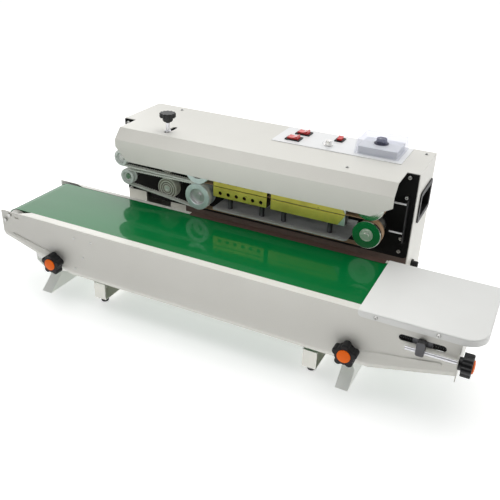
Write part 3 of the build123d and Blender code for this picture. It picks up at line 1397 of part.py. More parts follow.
with BuildPart() as upper_guards:
    with BuildSketch(front_plane(BLOCK_FRONT)):
        perforated_outline(UPPER_BLOCK_BOTTOM, 2 * SEAL_Z - GUARD_BOTTOM, UPPER_HOLE_Z)
    extrude(amount=SHEET)
    with BuildSketch(front_plane(BLOCK_FRONT)):
        plain_outline(UPPER_BLOCK_BOTTOM, 2 * SEAL_Z - GUARD_BOTTOM)
    extrude(amount=SHEET)
upper_guards.part.label = "upper_guards"
export_step(upper_guards.part, "parts/upper_guards.step")

# Exit guide: a bent strip on the plate that holds two thin rods beside the right wheels.
STRIP_X = X0 + 731.0
with BuildPart() as exit_guide:
    with BuildSketch(side_plane(STRIP_X)):
        with BuildLine():
            Polyline(
                (CAB_FRONT, 178.0),
                (CAB_FRONT, 268.0),
                (CAB_FRONT - 16.0, 264.0),
                (CAB_FRONT - 16.0, 182.0),
                close=True,
            )
        make_face()
    extrude(amount=SHEET)
    for rod_z, rod_left in ((256.5, X0 + 708.0), (200.2, X0 + 706.0)):
        with BuildSketch(side_plane(rod_left)):
            with Locations((CAB_FRONT - 12.0, rod_z)):
                Circle(1.8)
        extrude(amount=STRIP_X - rod_left)
exit_guide.part.label = "exit_guide"
export_step(exit_guide.part, "parts/exit_guide.step")

# ---------------------------------------------------------------- controls
BEZEL_HEIGHT = 2.0
SWITCH_DEPTH = 16.0
ROCKER_PIVOT_Z = PANEL_TOP - 1.0
ROCKER_PIN = 1.5
with BuildPart() as switch_bezels:
    for centre, length, width, turn in ROCKERS:
        spot = Location((centre[0], centre[1], PANEL_TOP), (0, 0, turn))
        with BuildSketch(Plane(spot)):
            RectangleRounded(length, width, 1.5)
        extrude(amount=BEZEL_HEIGHT)
        with BuildSketch(Plane(spot)):
            Rectangle(length - 3.4, width - 3.4)
        extrude(amount=-SWITCH_DEPTH)
        with BuildSketch(Plane(spot).offset(BEZEL_HEIGHT)):
            Rectangle(length - 6.6, width - 6.6)
        extrude(amount=-(BEZEL_HEIGHT + SWITCH_DEPTH - 2.0), mode=Mode.SUBTRACT)
        reach = (width - 5.0) / 2
        with BuildSketch(Plane(spot * Location((0, reach, ROCKER_PIVOT_Z - PANEL_TOP), (90, 0, 0)))):
            Circle(ROCKER_PIN)
        extrude(amount=2 * reach)
switch_bezels.part.label = "switch_bezels"
export_step(switch_bezels.part, "parts/switch_bezels.step")


def build_rocker(centre, length, width, turn):
    """A rocker with two sloping halves that tips on the switch's pin."""
    half = length / 2 - 4.6
    spot = Location((centre[0], centre[1], ROCKER_PIVOT_Z), (0, 0, turn))
    upright = Location((0, width / 2 - 3.9, 0), (90, 0, 0))
    tilted = spot * upright * Location((0, 0, 0), (0, 0, ROCKER_TILT))
    with BuildPart() as rocker:
        with BuildSketch(Plane(tilted)):
            with BuildLine():
                Polyline(
                    (-half, -3.0),
                    (-half, 7.2),
                    (-half + 1.5, 7.6),
                    (0, 5.4),
                    (half - 1.5, 7.6),
                    (half, 7.2),
                    (half, -3.0),
                    close=True,
                )
            make_face()
            Circle(ROCKER_PIN + RUN_FIT, mode=Mode.SUBTRACT)
        extrude(amount=width - 7.8)
    return rocker


rocker_motor = build_rocker(*ROCKERS[0])
rocker_motor.part.label = "rocker_motor"
export_step(rocker_motor.part, "parts/rocker_motor.step")

rocker_heat = build_rocker(*ROCKERS[1])
rocker_heat.part.label = "rocker_heat"
export_step(rocker_heat.part, "parts/rocker_heat.step")

rocker_fan = build_rocker(*ROCKERS[2])
rocker_fan.part.label = "rocker_fan"
export_step(rocker_fan.part, "parts/rocker_fan.step")

# Speed control: a low knob on a spindle; the spindle turns in the panel.
with BuildPart() as speed_knob:
    with BuildSketch(Plane.XY.offset(PANEL_TOP + 0.4)):
        with Locations(SPEED_XY):
            Circle(8.5)
    extrude(amount=2.0)
    with BuildSketch(Plane.XY.offset(PANEL_TOP + 2.4)):
        with Locations(SPEED_XY):
            Circle(6.8)
    extrude(amount=7.0, taper=4)
    fillet(speed_knob.faces().sort_by(Axis.Z)[-1].edges(), 1.0)
    with BuildSketch(Plane.XY.offset(PANEL_TOP + 0.4)):
        with Locations(SPEED_XY):
            Circle(3.0)
    extrude(amount=-18.0)
speed_knob.part.label = "speed_knob"
export_step(speed_knob.part, "parts/speed_knob.step")

# Temperature controller: a case on the panel with its works hanging below.
with BuildPart() as temperature_controller:
    with BuildSketch(Plane.XY.offset(PANEL_TOP)):
        with Locations(CONTROLLER_XY):
            RectangleRounded(*CONTROLLER_BODY, 3)
    extrude(amount=CONTROLLER_TOP - PANEL_TOP)
    fillet(temperature_controller.faces().sort_by(Axis.Z)[-1].edges(), 1.0)
    with BuildSketch(Plane.XY.offset(PANEL_TOP)):
        with Locations(CONTROLLER_XY):
            Rectangle(CONTROLLER_BODY[0] - 15.0, CONTROLLER_BODY[1] - 15.0)
    extrude(amount=-32.0)
    with BuildSketch(Plane.XY.offset(CONTROLLER_TOP - 9.0)):
        with Locations(HEAT_KNOB_XY):
            Circle(3.0 + RUN_FIT)
    extrude(amount=10.0, mode=Mode.SUBTRACT)
temperature_controller.part.label = "temperature_controller"
export_step(temperature_controller.part, "parts/temperature_controller.step")

with BuildPart() as temperature_knob:
    with BuildSketch(Plane.XY.offset(CONTROLLER_TOP + 0.4)):
        with Locations(HEAT_KNOB_XY):
            Circle(13.5)
    extrude(amount=1.4)
    with BuildSketch(Plane.XY.offset(CONTROLLER_TOP + 1.8)):
        with Locations(HEAT_KNOB_XY):
            Circle(10.0)
    extrude(amount=8.4, taper=3)
    fillet(temperature_knob.faces().sort_by(Axis.Z)[-1].edges(), 0.8)
    with BuildSketch(Plane.XY.offset(CONTROLLER_TOP + 0.4)):
        with Locations(HEAT_KNOB_XY):
            Circle(3.0)
    extrude(amount=-8.0)
temperature_knob.part.label = "temperature_knob"
export_step(temperature_knob.part, "parts/temperature_knob.step")

# Clear cover over the controller, hinged along its rear edge on two pins.
COVER_LEFT = X0 + 609.0
COVER_WIDTH = 83.0
COVER_WALL = 1.6
COVER_BASE = PANEL_TOP + 0.3
COVER_TOP = PANEL_TOP + 27.0
with BuildPart() as controller_cover:
    with BuildSketch(side_plane(COVER_LEFT)):
        with BuildLine():
            Polyline(
                (Y0 + 281.0, COVER_BASE),
                (Y0 + 292.0, COVER_TOP),
                (Y0 + 355.0, COVER_TOP),
                (Y0 + 357.0, COVER_BASE),
                close=True,
            )
        make_face()
    extrude(amount=COVER_WIDTH)
    fillet(controller_cover.edges().group_by(Axis.Z)[-1], 2.0)
    base = controller_cover.faces().sort_by(Axis.Z)[0]
    offset(amount=-COVER_WALL, openings=base)
    for hinge_x in HINGE_X:
        with BuildSketch(side_plane(hinge_x - 6.5)):
            with BuildLine():
                Polyline(
                    (Y0 + 355.8, COVER_BASE + 0.6),
                    (Y0 + 355.8, HINGE_Z + 1.9),
                    (HINGE_Y, HINGE_Z + 1.9),
                    (HINGE_Y, HINGE_Z - 1.9),
                    close=True,
                )
            make_face()
            with Locations((HINGE_Y, HINGE_Z)):
                Circle(1.9)
                Circle(0.9 + RUN_FIT, mode=Mode.SUBTRACT)
        extrude(amount=13.0)
controller_cover.part.label = "controller_cover"
export_step(controller_cover.part, "parts/controller_cover.step")

# Pressure screw: a knob on a stud that passes the slot in the hood.
KNOB_BASE = CAB_TOP + 20.0
with BuildPart() as pressure_knob:
    with BuildSketch(Plane.XY.offset(KNOB_BASE)):
        with Locations(PRESSURE_XY):
            Circle(8.0)
    extrude(amount=2.5, taper=-40)
    with BuildSketch(Plane.XY.offset(KNOB_BASE + 2.5)):
        with Locations(PRESSURE_XY):
            Circle(10.1)
    extrude(amount=6.0)
    with BuildSketch(Plane.XY.offset(KNOB_BASE + 8.5)):
        with Locations(PRESSURE_XY):
            Circle(14.0)
            with PolarLocations(13.6, 12):
                Circle(2.2)
    extrude(amount=8.5)
    fillet(pressure_knob.faces().sort_by(Axis.Z)[-1].edges(), 1.0)
    with BuildSketch(Plane.XY.offset(CAB_TOP - 26.0)):
        with Locations(PRESSURE_XY):
            Circle(4.0)
    extrude(amount=KNOB_BASE - CAB_TOP + 26.0)
    with BuildSketch(Plane.XY.offset(CAB_TOP + 0.4)):
        with Locations(PRESSURE_XY):
            Circle(6.0)
    extrude(amount=2.0)
pressure_knob.part.label = "pressure_knob"
export_step(pressure_knob.part, "parts/pressure_knob.step")
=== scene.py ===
# %% [markdown]
# # A continuous band sealer
#
# The machine is a long belt conveyor in front of a sheet-metal cabinet.  Bags stand on the belt,
# and their mouths run between two thin bands that heat, press and cool them.  The packed model
# is loaded first as a fixed frame: one object per piece, in metres, +X along the conveyor, +Y to
# the back and +Z up.  Everything below either gives one of those pieces its finish or adds a
# piece that is placed from the frame's own boxes.  The few places that no box gives, such as the ends
# of the shade strip, are given as numbers and have names.

# %% Load the frame
import math

import bmesh
import bpy
from mathutils import Matrix, Vector


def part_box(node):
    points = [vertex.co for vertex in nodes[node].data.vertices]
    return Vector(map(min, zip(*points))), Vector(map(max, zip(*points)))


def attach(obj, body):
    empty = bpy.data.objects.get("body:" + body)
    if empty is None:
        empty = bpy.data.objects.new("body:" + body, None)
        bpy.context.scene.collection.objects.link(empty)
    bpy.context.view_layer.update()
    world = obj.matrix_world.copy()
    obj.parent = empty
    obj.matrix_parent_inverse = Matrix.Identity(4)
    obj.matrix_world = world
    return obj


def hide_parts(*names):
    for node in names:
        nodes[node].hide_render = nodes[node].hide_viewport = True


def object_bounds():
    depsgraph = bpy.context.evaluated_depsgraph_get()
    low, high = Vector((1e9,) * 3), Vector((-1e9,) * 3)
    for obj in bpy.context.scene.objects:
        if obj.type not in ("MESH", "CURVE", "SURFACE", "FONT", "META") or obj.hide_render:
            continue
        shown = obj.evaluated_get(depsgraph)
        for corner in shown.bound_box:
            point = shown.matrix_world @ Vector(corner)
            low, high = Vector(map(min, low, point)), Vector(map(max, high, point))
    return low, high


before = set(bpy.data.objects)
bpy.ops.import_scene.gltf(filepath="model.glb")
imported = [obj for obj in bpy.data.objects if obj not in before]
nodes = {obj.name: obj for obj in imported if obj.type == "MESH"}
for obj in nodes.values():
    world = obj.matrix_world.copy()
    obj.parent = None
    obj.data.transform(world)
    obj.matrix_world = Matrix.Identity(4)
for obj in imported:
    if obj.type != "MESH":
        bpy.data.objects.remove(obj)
cad_box = [list(corner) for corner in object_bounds()]
MM = 0.001

# %% [markdown]
# ## Arithmetic on shader sockets
#
# Surface detail is a sum of small effects: a little noise in the roughness, dirt in the corners,
# grooves from a lathe.  In the node editor each sum and product is a Math node, which soon hides
# the idea.  A class that wraps one socket and overloads Python's operators lets the same thing
# be written as a formula, and still leaves ordinary nodes behind.

# %% A socket that can be added and multiplied
class Wire:
    """One output of a material's node; arithmetic on it adds Math nodes."""

    def __init__(self, finish, socket):
        self.finish = finish
        self.socket = socket

    def math(self, operation, other=0.0, swapped=False):
        first, second = (other, self) if swapped else (self, other)
        added = self.finish.node("ShaderNodeMath", {"operation": operation}, {0: first, 1: second})
        return added["Value"]

    def __add__(self, other):
        return self.math("ADD", other)

    def __radd__(self, other):
        return self.math("ADD", other)

    def __sub__(self, other):
        return self.math("SUBTRACT", other)

    def __rsub__(self, other):
        return self.math("SUBTRACT", other, swapped=True)

    def __mul__(self, other):
        return self.math("MULTIPLY", other)

    def __rmul__(self, other):
        return self.math("MULTIPLY", other)

    def __gt__(self, other):
        return self.math("GREATER_THAN", other)

    def __lt__(self, other):
        return self.math("LESS_THAN", other)

    def sine(self):
        return self.math("SINE")

    def root(self):
        return self.math("SQRT")


class Outputs:
    """The outputs of one new node, looked up by name or number."""

    def __init__(self, finish, node):
        self.finish = finish
        self.node = node

    def __getitem__(self, name):
        return Wire(self.finish, self.node.outputs[name])


print("a wire can:", [name for name in vars(Wire) if callable(getattr(Wire, name))])

# %% [markdown]
# ## A material that is built up piece by piece
#
# Blender's Principled shader covers paint, metal, rubber and plastic with one set of sockets.
# `Finish` makes a material with that shader and sets the constant sockets straight away; its one
# `node` method adds any other node.  Coordinates are the object's own, in metres, so a grain of
# half a millimetre is the same size on the hood and on a knob.

# %% The Finish class
SOCKET_NAMES = {"Ior": "IOR", "Coat Ior": "Coat IOR", "Specular Ior Level": "Specular IOR Level"}


class Finish:
    """A material with one Principled shader and the nodes that feed it."""

    def __init__(self, name, **constants):
        self.material = bpy.data.materials.new(name)
        self.material.use_nodes = True
        self.tree = self.material.node_tree
        self.shader = self.tree.nodes["Principled BSDF"]
        for socket, value in constants.items():
            self.set(socket.replace("_", " ").title(), value)

    def node(self, kind, settings=None, inputs=None):
        """Adds a node; settings come first, then the values or wires of its inputs."""
        made = self.tree.nodes.new(kind)
        for key, value in (settings or {}).items():
            if key == "stops":
                self.set_stops(made.color_ramp, value)
            else:
                setattr(made, key, value)
        for key, value in (inputs or {}).items():
            self.feed(made.inputs[key], value)
        return Outputs(self, made)

    def set_stops(self, ramp, stops):
        """Gives a colour ramp its stops, a list of (position, colour)."""
        while len(ramp.elements) < len(stops):
            ramp.elements.new(1.0)
        for element, (position, color) in zip(ramp.elements, stops):
            element.position = position
            element.color = color

    def feed(self, socket, value):
        if isinstance(value, Wire):
            self.tree.links.new(value.socket, socket)
        elif socket.type == "RGBA" and len(value) == 3:
            socket.default_value = (*value, 1.0)
        else:
            socket.default_value = value

    def set(self, name, value):
        """Sets or links one socket of the Principled shader."""
        self.feed(self.shader.inputs[SOCKET_NAMES.get(name, name)], value)

    def place(self, stretch=(1, 1, 1)):
        """The object's own coordinates in metres, stretched along each axis."""
        here = self.node("ShaderNodeTexCoord")["Object"]
        settings = {"operation": "MULTIPLY"}
        return self.node("ShaderNodeVectorMath", settings, {0: here, 1: stretch})["Vector"]

    def axes(self, stretch=(1, 1, 1)):
        """The three coordinates one by one: [0] along X, [1] along Y, [2] along Z."""
        return self.node("ShaderNodeSeparateXYZ", None, {0: self.place(stretch)})

    def noise(self, per_metre, detail=2.0, stretch=(1, 1, 1)):
        """Soft random values from 0 to 1; per_metre is how many grains fit in a metre."""
        inputs = {"Vector": self.place(stretch), "Scale": per_metre, "Detail": detail}
        return self.node("ShaderNodeTexNoise", None, inputs)["Fac"]

    def blend(self, factor, first, second):
        """A colour that goes from first to second as factor goes from 0 to 1."""
        settings = {"data_type": "RGBA"}
        return self.node("ShaderNodeMix", settings, {0: factor, 6: first, 7: second})[2]

    def ramp(self, factor, low, high):
        """factor stretched so that low becomes 0 and high becomes 1, and clamped."""
        inputs = {"Value": factor, "From Min": low, "From Max": high}
        return self.node("ShaderNodeMapRange", None, inputs)["Result"]

    def relief(self, height, depth, edge=0.0):
        """Lets height, from 0 to 1, raise the surface by depth; edge rounds sharp edges."""
        inputs = {"Height": height, "Distance": depth, "Strength": 1.0}
        if edge:
            inputs["Normal"] = self.node("ShaderNodeBevel", None, {"Radius": edge})["Normal"]
        self.set("Normal", self.node("ShaderNodeBump", None, inputs)["Normal"])


made = {}


def finish(make):
    """Decorator: makes the finish once and keeps it by its function's name."""
    made[make.__name__] = make().material
    return make


print("socket names that need care:", SOCKET_NAMES)

# %% [markdown]
# ## Painted sheet
#
# The cabinet, the hood, the rails and the tray are bent steel sheet with a warm ivory powder
# coat.  Powder coat is never mirror smooth: it has a fine orange peel of about a millimetre, and
# it is very slightly uneven in colour and gloss.  A Bump node makes the peel, and a Bevel node
# rounds the edges of the sheet by half its thickness so that they catch the light.  The base's upright
# wall behind the belt is painted dark brown: painted shade where the sealing head shades it, and a
# painted reflection of the brown bands.  Three comparisons on the coordinates, times each other, make
# a mask for it, which is simpler than splitting the piece.

# %% Powder coats
IVORY, IVORY_SHADE = (0.74, 0.73, 0.675), (0.715, 0.705, 0.65)
# This brown is painted shade and a painted reflection of the bands, behind the belt
PAINTED_SHADE_BROWN = (0.085, 0.052, 0.042)
SHADE_LEFT, SHADE_FRONT, SHADE_BOTTOM = -0.186, 0.0679, 0.118


def powder_coat(name, color, shade, roughness=0.42, edge=0.0006):
    coat = Finish(name, metallic=0.0, coat_weight=0.12, coat_roughness=0.3)
    cloud = coat.noise(9, 3)
    peel = coat.noise(700, 1)
    coat.set("Base Color", coat.blend(coat.ramp(cloud, 0.35, 0.7), color, shade))
    coat.set("Roughness", roughness + 0.10 * (coat.noise(60, 3) - 0.5))
    coat.relief(peel, 0.00004, edge)
    return coat


@finish
def ivory_paint():
    return powder_coat("ivory_paint", IVORY, IVORY_SHADE)


@finish
def base_paint_and_shade():
    coat = powder_coat("base_paint_and_shade", IVORY, IVORY_SHADE)
    parts = coat.axes()
    # painted shade: the wall behind the belt, under the head, is coloured dark brown
    painted_shade = (parts[1] < SHADE_FRONT) * (parts[2] > SHADE_BOTTOM) * (parts[0] > SHADE_LEFT)
    clean = coat.shader.inputs["Base Color"].links[0].from_socket
    coat.set("Base Color", coat.blend(painted_shade, Wire(coat, clean), PAINTED_SHADE_BROWN))
    return coat


@finish
def tray_paint():
    return powder_coat("tray_paint", (0.82, 0.825, 0.80), (0.79, 0.795, 0.77))


@finish
def black_paint():
    coat = powder_coat("black_paint", (0.0035, 0.0035, 0.0035), (0.007, 0.007, 0.007), 0.5, 0.0004)
    coat.set("Specular Ior Level", 0.12)
    coat.set("Coat Weight", 0.0)
    return coat


@finish
def panel_white():
    return powder_coat("panel_white", (0.86, 0.87, 0.87), (0.82, 0.83, 0.83), 0.3, 0.0003)


@finish
def motor_grey():
    return powder_coat("motor_grey", (0.10, 0.11, 0.12), (0.13, 0.14, 0.15), 0.45, 0.0005)


print("powder coats:", list(made))

# %% [markdown]
# ## The conveyor belt
#
# The belt is woven polyester with a smooth green PVC skin.  It is glossy enough to mirror the
# wheels above it, yet the weave below still prints through as a faint square grid.  A clear coat
# gives the sharp mirror image, and two crossed sine waves of 1.2 mm make the grid.  The gloss is
# worn towards the tray, so the coat's weight falls along X between two named places.

# %% Green PVC
WEAVE_PITCH = 1.2 * MM
DULL_START, DULL_END = 0.0, 0.16


def weave(cloth, pitch):
    """A grid of threads along X and Y, 0 to 1, with the given pitch in metres."""
    turns = 2 * math.pi / pitch
    parts = cloth.axes((turns, turns, turns))
    return 0.5 + 0.25 * (parts[0].sine() + parts[1].sine())


@finish
def green_belt():
    skin = Finish(
        "green_belt", coat_roughness=0.015, coat_ior=1.42, specular_ior_level=0.04
    )
    dulling = skin.ramp(skin.axes()[0], DULL_START, DULL_END)
    skin.set("Coat Weight", 0.52 - 0.30 * dulling)
    smear = skin.noise(6, 4, (1, 2.5, 1))
    skin.set("Base Color", skin.blend(smear, (0.0, 0.128, 0.026), (0.0, 0.160, 0.040)))
    skin.set("Roughness", 0.30 + 0.10 * skin.noise(25, 4, (0.3, 1, 1)))
    skin.relief(weave(skin, WEAVE_PITCH), 0.000004)
    return skin


print("belt:", made["green_belt"].name, "with", len(made["green_belt"].node_tree.nodes), "nodes")

# %% [markdown]
# ## Bare metals
#
# Turned wheels show rings round their axis; ground or rolled bars show scratches along their
# length.  Both are the same noise, stretched: across the grain the noise changes every few tenths
# of a millimetre, and along it hardly at all.  The bars come first.

# %% Bars and sheets of bare metal
def bar_metal(name, color, roughness, stretch, scratch=0.00002, edge=0.0003):
    metal = Finish(name, metallic=1.0)
    grain = metal.noise(500, 2, stretch)
    stain = metal.noise(40, 4)
    dark = tuple(c * 0.78 for c in color)
    metal.set("Base Color", metal.blend(metal.ramp(stain, 0.4, 0.8), color, dark))
    metal.set("Roughness", roughness + 0.14 * (grain - 0.5) + 0.08 * (stain - 0.5))
    metal.relief(grain, scratch, edge)
    return metal


@finish
def steel():
    return bar_metal("steel", (0.60, 0.60, 0.58), 0.30, (0.15, 1, 1))


@finish
def dark_steel():
    return bar_metal("dark_steel", (0.10, 0.10, 0.105), 0.34, (1, 1, 0.2))


@finish
def shelf_steel():
    metal = bar_metal("shelf_steel", (0.72, 0.73, 0.72), 0.5, (0.1, 1, 1))
    metal.set("Metallic", 0.5)
    return metal


@finish
def brass():
    return bar_metal("brass", (0.16, 0.13, 0.07), 0.45, (0.12, 1, 1))


@finish
def aluminium():
    return bar_metal("aluminium", (0.72, 0.73, 0.74), 0.36, (0.12, 1, 1))


@finish
def zinc():
    metal = powder_coat("zinc", (0.90, 0.90, 0.87), (0.86, 0.86, 0.83), 0.34)
    metal.set("Metallic", 0.1)
    return metal


@finish
def knob_chrome():
    return bar_metal("knob_chrome", (0.93, 0.92, 0.90), 0.14, (1, 1, 0.1))


@finish
def gold_guard():
    metal = bar_metal("gold_guard", (0.80, 0.67, 0.13), 0.32, (0.12, 1, 1), edge=0.001)
    metal.set("Metallic", 0.75)
    return metal


print("finishes so far:", len(made))

# %% [markdown]
# ## Turned wheels
#
# For lathe rings the distance from the axis takes the place of the coordinate along the bar.  The
# same distance tells the wheel's rim from its core, which differ in colour, gloss and in how
# metallic they look, so one material does for the whole wheel.

# %% Lathe rings
def turned_metal(name, rim, core, core_radius, axis_x, axis_z):
    """Metal with lathe rings round an axis along Y; rim and core are (colour, roughness, metallic)."""
    metal = Finish(name)
    parts = metal.axes()
    dx, dz = parts[0] - axis_x, parts[2] - axis_z
    radius = (dx * dx + dz * dz).root()
    where = metal.node("ShaderNodeCombineXYZ", None, {0: radius, 1: parts[1]})["Vector"]
    fine = {"Vector": where, "Scale": 2200, "Detail": 1.0}
    rings = metal.node("ShaderNodeTexNoise", None, fine)["Fac"]
    outside = metal.ramp(radius, core_radius - 0.4 * MM, core_radius)
    stain = metal.ramp(metal.noise(70, 3), 0.4, 0.75)
    clean = metal.blend(outside, core[0], rim[0])
    dull = metal.blend(outside, tuple(c * 0.8 for c in core[0]), tuple(c * 0.86 for c in rim[0]))
    metal.set("Base Color", metal.blend(stain, clean, dull))
    metal.set("Roughness", core[1] + outside * (rim[1] - core[1]) + 0.10 * (rings - 0.5))
    metal.set("Metallic", core[2] + outside * (rim[2] - core[2]))
    metal.relief(rings, 0.000012, 0.0003)
    return metal.material


print("lathe rings: one material for each wheel, made below from its own axis")

# %% [markdown]
# ## Plastics and rubber
#
# The knobs are moulded in matt black with a fine spark-eroded grain, and the rockers are glossy
# red.  The controller's body is beige below a seam and pale grey above it; the seam is measured
# down from the foot of the knob's shaft, which is inside the body, so what shows above the panel
# is the pale part.

# %% Plastics and rubbers
CONTROLLER_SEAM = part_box("temperature_knob")[0].z - 6.5 * MM
CONTROLLER_BEIGE, CONTROLLER_PALE = (0.66, 0.67, 0.50), (0.80, 0.82, 0.84)


def moulded(name, color, roughness, grain=0.00003, edge=0.0006, **constants):
    plastic = Finish(name, **constants)
    cloud = plastic.noise(30, 3)
    lighter = tuple(min(1.0, c * 1.12 + 0.004) for c in color)
    plastic.set("Base Color", plastic.blend(cloud, color, lighter))
    plastic.set("Roughness", roughness + 0.10 * (plastic.noise(120, 3) - 0.5))
    plastic.relief(plastic.noise(1600, 1), grain, edge)
    return plastic


@finish
def black_plastic():
    return moulded("black_plastic", (0.005, 0.005, 0.006), 0.45, specular_ior_level=0.3)


@finish
def cover_beige():
    body = moulded("cover_beige", CONTROLLER_BEIGE, 0.38)
    face = body.axes()[2] > CONTROLLER_SEAM
    body.set("Base Color", body.blend(face, CONTROLLER_BEIGE, CONTROLLER_PALE))
    return body


@finish
def dark_knob():
    return moulded("dark_knob", (0.004, 0.004, 0.012), 0.4, specular_ior_level=0.3)


@finish
def orange_plastic():
    return moulded("orange_plastic", (1.0, 0.15, 0.0), 0.45, specular_ior_level=0.2, edge=0.0004)


@finish
def red_plastic():
    return moulded("red_plastic", (0.72, 0.038, 0.034), 0.22, coat_weight=0.5, edge=0.0004)


@finish
def rubber():
    return moulded("rubber", (0.016, 0.016, 0.016), 0.7, 0.00005)


@finish
def pulley_plastic():
    return moulded("pulley_plastic", (0.72, 0.76, 0.73), 0.30, edge=0.0004)


@finish
def roller_olive():
    return moulded("roller_olive", (0.50, 0.51, 0.43), 0.34, edge=0.0004, metallic=0.2)


print("plastics and rubbers:", len(made), "finishes so far")

# %% [markdown]
# ## The clear cover
#
# Real clear plastic is glass-like and refracts, but a thin moulded cover looks right, and exports
# well, as a mostly transparent surface.  Its alpha rises with Layer Weight's Facing, cubed, so the
# flat faces stay clear and the rims and walls seen edge-on turn milky.

# %% Clear cover
@finish
def clear_plastic():
    clear = Finish("clear_plastic", roughness=0.04, ior=1.49)
    facing = clear.node("ShaderNodeLayerWeight", None, {"Blend": 0.35})["Facing"]
    haze = clear.noise(20, 3)
    clear.set("Base Color", clear.blend(haze, (0.48, 0.51, 0.80), (0.56, 0.59, 0.86)))
    clear.set("Alpha", 0.05 + 0.03 * haze + 0.30 * (facing * facing * facing))
    clear.relief(clear.noise(90, 1), 0.00002, 0.0008)
    return clear


print("cover nodes:", len(made["clear_plastic"].node_tree.nodes))

# %% [markdown]
# ## The bands and guide belts
#
# The sealing bands are glass cloth soaked in PTFE, tan when new and browned by the heating blocks,
# so a soft noise mixes the two colours.  The cloth's weave is the conveyor belt's grid at half the
# pitch.  The guide belts are pale ribbed rubber.

# %% Bands
@finish
def ptfe_band():
    band = Finish("ptfe_band", coat_weight=0.25, coat_roughness=0.25)
    burnt = band.noise(30, 4, (1, 4, 1))
    scorch = band.ramp(burnt, 0.35, 0.7)
    band.set("Base Color", band.blend(scorch, (0.64, 0.43, 0.25), (0.38, 0.235, 0.14)))
    band.set("Roughness", 0.38 + 0.1 * burnt)
    band.relief(weave(band, WEAVE_PITCH / 2), 0.00003)
    return band


@finish
def belt_rubber():
    return moulded("belt_rubber", (0.66, 0.68, 0.63), 0.55, 0.00004, 0.0003)


print("finishes:", sorted(made))

# %% [markdown]
# ## Knobs on steel screws
#
# A hand knob and its screw are one packed piece, because they turn together, yet they are plastic
# and steel.  A comparison along the screw's axis gives a mask, and the mask picks colour, metal
# and gloss.  The thread shows as a fine ripple on the steel side only.

# %% Plastic on steel
THREAD_PITCH = 1.25 * MM


def knob_on_steel(name, axis, seam, above):
    """Black plastic on one side of a seam across the given axis, and a steel thread on the other."""
    screw = Finish(name)
    along = screw.axes()[axis]
    plastic = (along > seam) if above else 1 - (along > seam)
    turns = 2 * math.pi / THREAD_PITCH
    thread = 0.5 + 0.5 * (along * turns).sine()
    screw.set("Base Color", screw.blend(plastic, (0.86, 0.86, 0.90), (0.005, 0.005, 0.006)))
    screw.set("Metallic", 0.6 * (1 - plastic))
    screw.set("Roughness", 0.24 + 0.20 * plastic + 0.08 * (screw.noise(120, 3) - 0.5))
    screw.relief(thread * (1 - plastic), 0.00002, 0.0004)
    return screw.material


print("thread pitch in millimetres:", THREAD_PITCH / MM)

# %% [markdown]
# ## Giving each piece its finish
#
# Each packed piece has one material slot.  A table from finish to piece names is easier to read
# and to correct than sixty single assignments.  The wheels and screws come after the table,
# because their materials need the piece's own axis or seam, and a check at the end shows any
# piece that was forgotten.

# %% Finishes of the packed pieces
WEARS = {
    "ivory_paint": (
        "cabinet_shell top_cover front_rail rear_rail slider_bed end_plate"
    ),
    "tray_paint": "receiving_tray",
    "base_paint_and_shade": "base_frame",
    "black_paint": "mounting_plate",
    "panel_white": "control_panel",
    "motor_grey": "gearmotor roller_motor",
    "green_belt": "conveyor_belt",
    "steel": (
        "head_bearings cabinet_screws conveyor_screws drive_roller idler_roller lower_gear "
        "upper_gear"
    ),
    "zinc": "support_legs",
    "dark_steel": "spring_posts tension_blocks tension_springs",
    "shelf_steel": "block_carriers",
    "brass": "lower_heating_block upper_heating_block",
    "aluminium": "lower_cooling_block upper_cooling_block",
    "knob_chrome": "speed_knob",
    "gold_guard": "lower_guards upper_guards",
    "black_plastic": (
        "side_handles electric_fittings fan_frame fan_rotor switch_bezels "
        "leg_knob_left leg_knob_right"
    ),
    "dark_knob": "temperature_knob",
    "cover_beige": "temperature_controller",
    "red_plastic": "rocker_motor rocker_heat rocker_fan",
    "rubber": "rubber_feet",
    "pulley_plastic": "small_pulley_lower small_pulley_upper",
    "roller_olive": "mid_pulley_lower mid_pulley_upper",
    "clear_plastic": "controller_cover",
    "ptfe_band": "seal_bands",
    "belt_rubber": "guide_belts",
}


def dress(obj, material):
    obj.data.materials.clear()
    obj.data.materials.append(material)


for name, pieces in WEARS.items():
    for piece in pieces.split():
        dress(nodes[piece], made[name])
print("pieces dressed from the table:", sum(len(pieces.split()) for pieces in WEARS.values()))

# %% [markdown]
# ## Wheels and screws
#
# Rim and core are each a colour, a roughness and how metallic they are, and the third value is
# the radius between them.  The left wheels are pale with a steel hub; the right wheels have a
# polished rim and a bright hub.

# %% Wheels and screws
LEFT_WHEEL = (((0.80, 0.90, 0.90), 0.34, 0.45), ((0.70, 0.70, 0.70), 0.30, 0.5), 16.4 * MM)
RIGHT_WHEEL = (((0.62, 0.66, 0.62), 0.09, 1.0), ((0.96, 0.95, 0.90), 0.30, 0.75), 12.2 * MM)
for wheel in ("lower_left_wheel", "upper_left_wheel", "lower_right_wheel", "upper_right_wheel"):
    low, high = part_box(wheel)
    axis_x, axis_z = (low.x + high.x) / 2, (low.z + high.z) / 2
    rim, core, seam = LEFT_WHEEL if "left" in wheel else RIGHT_WHEEL
    dress(nodes[wheel], turned_metal("turned_" + wheel, rim, core, seam, axis_x, axis_z))

end_plate_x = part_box("end_plate")[1].x
for screw in ("tension_screw_front", "tension_screw_rear"):
    dress(nodes[screw], knob_on_steel("threaded_" + screw, 0, end_plate_x, True))
guide_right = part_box("exit_guide")[1].x
dress(nodes["exit_guide"], knob_on_steel("guide_rods", 0, guide_right - 1.55 * MM, True))
hood_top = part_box("cabinet_shell")[1].z
dress(nodes["pressure_knob"], knob_on_steel("threaded_pressure_knob", 2, hood_top + 19 * MM, True))

forgotten = [n for n, o in nodes.items() if not o.data.materials or o.data.materials[0] is None]
print("pieces with no finish:", forgotten)

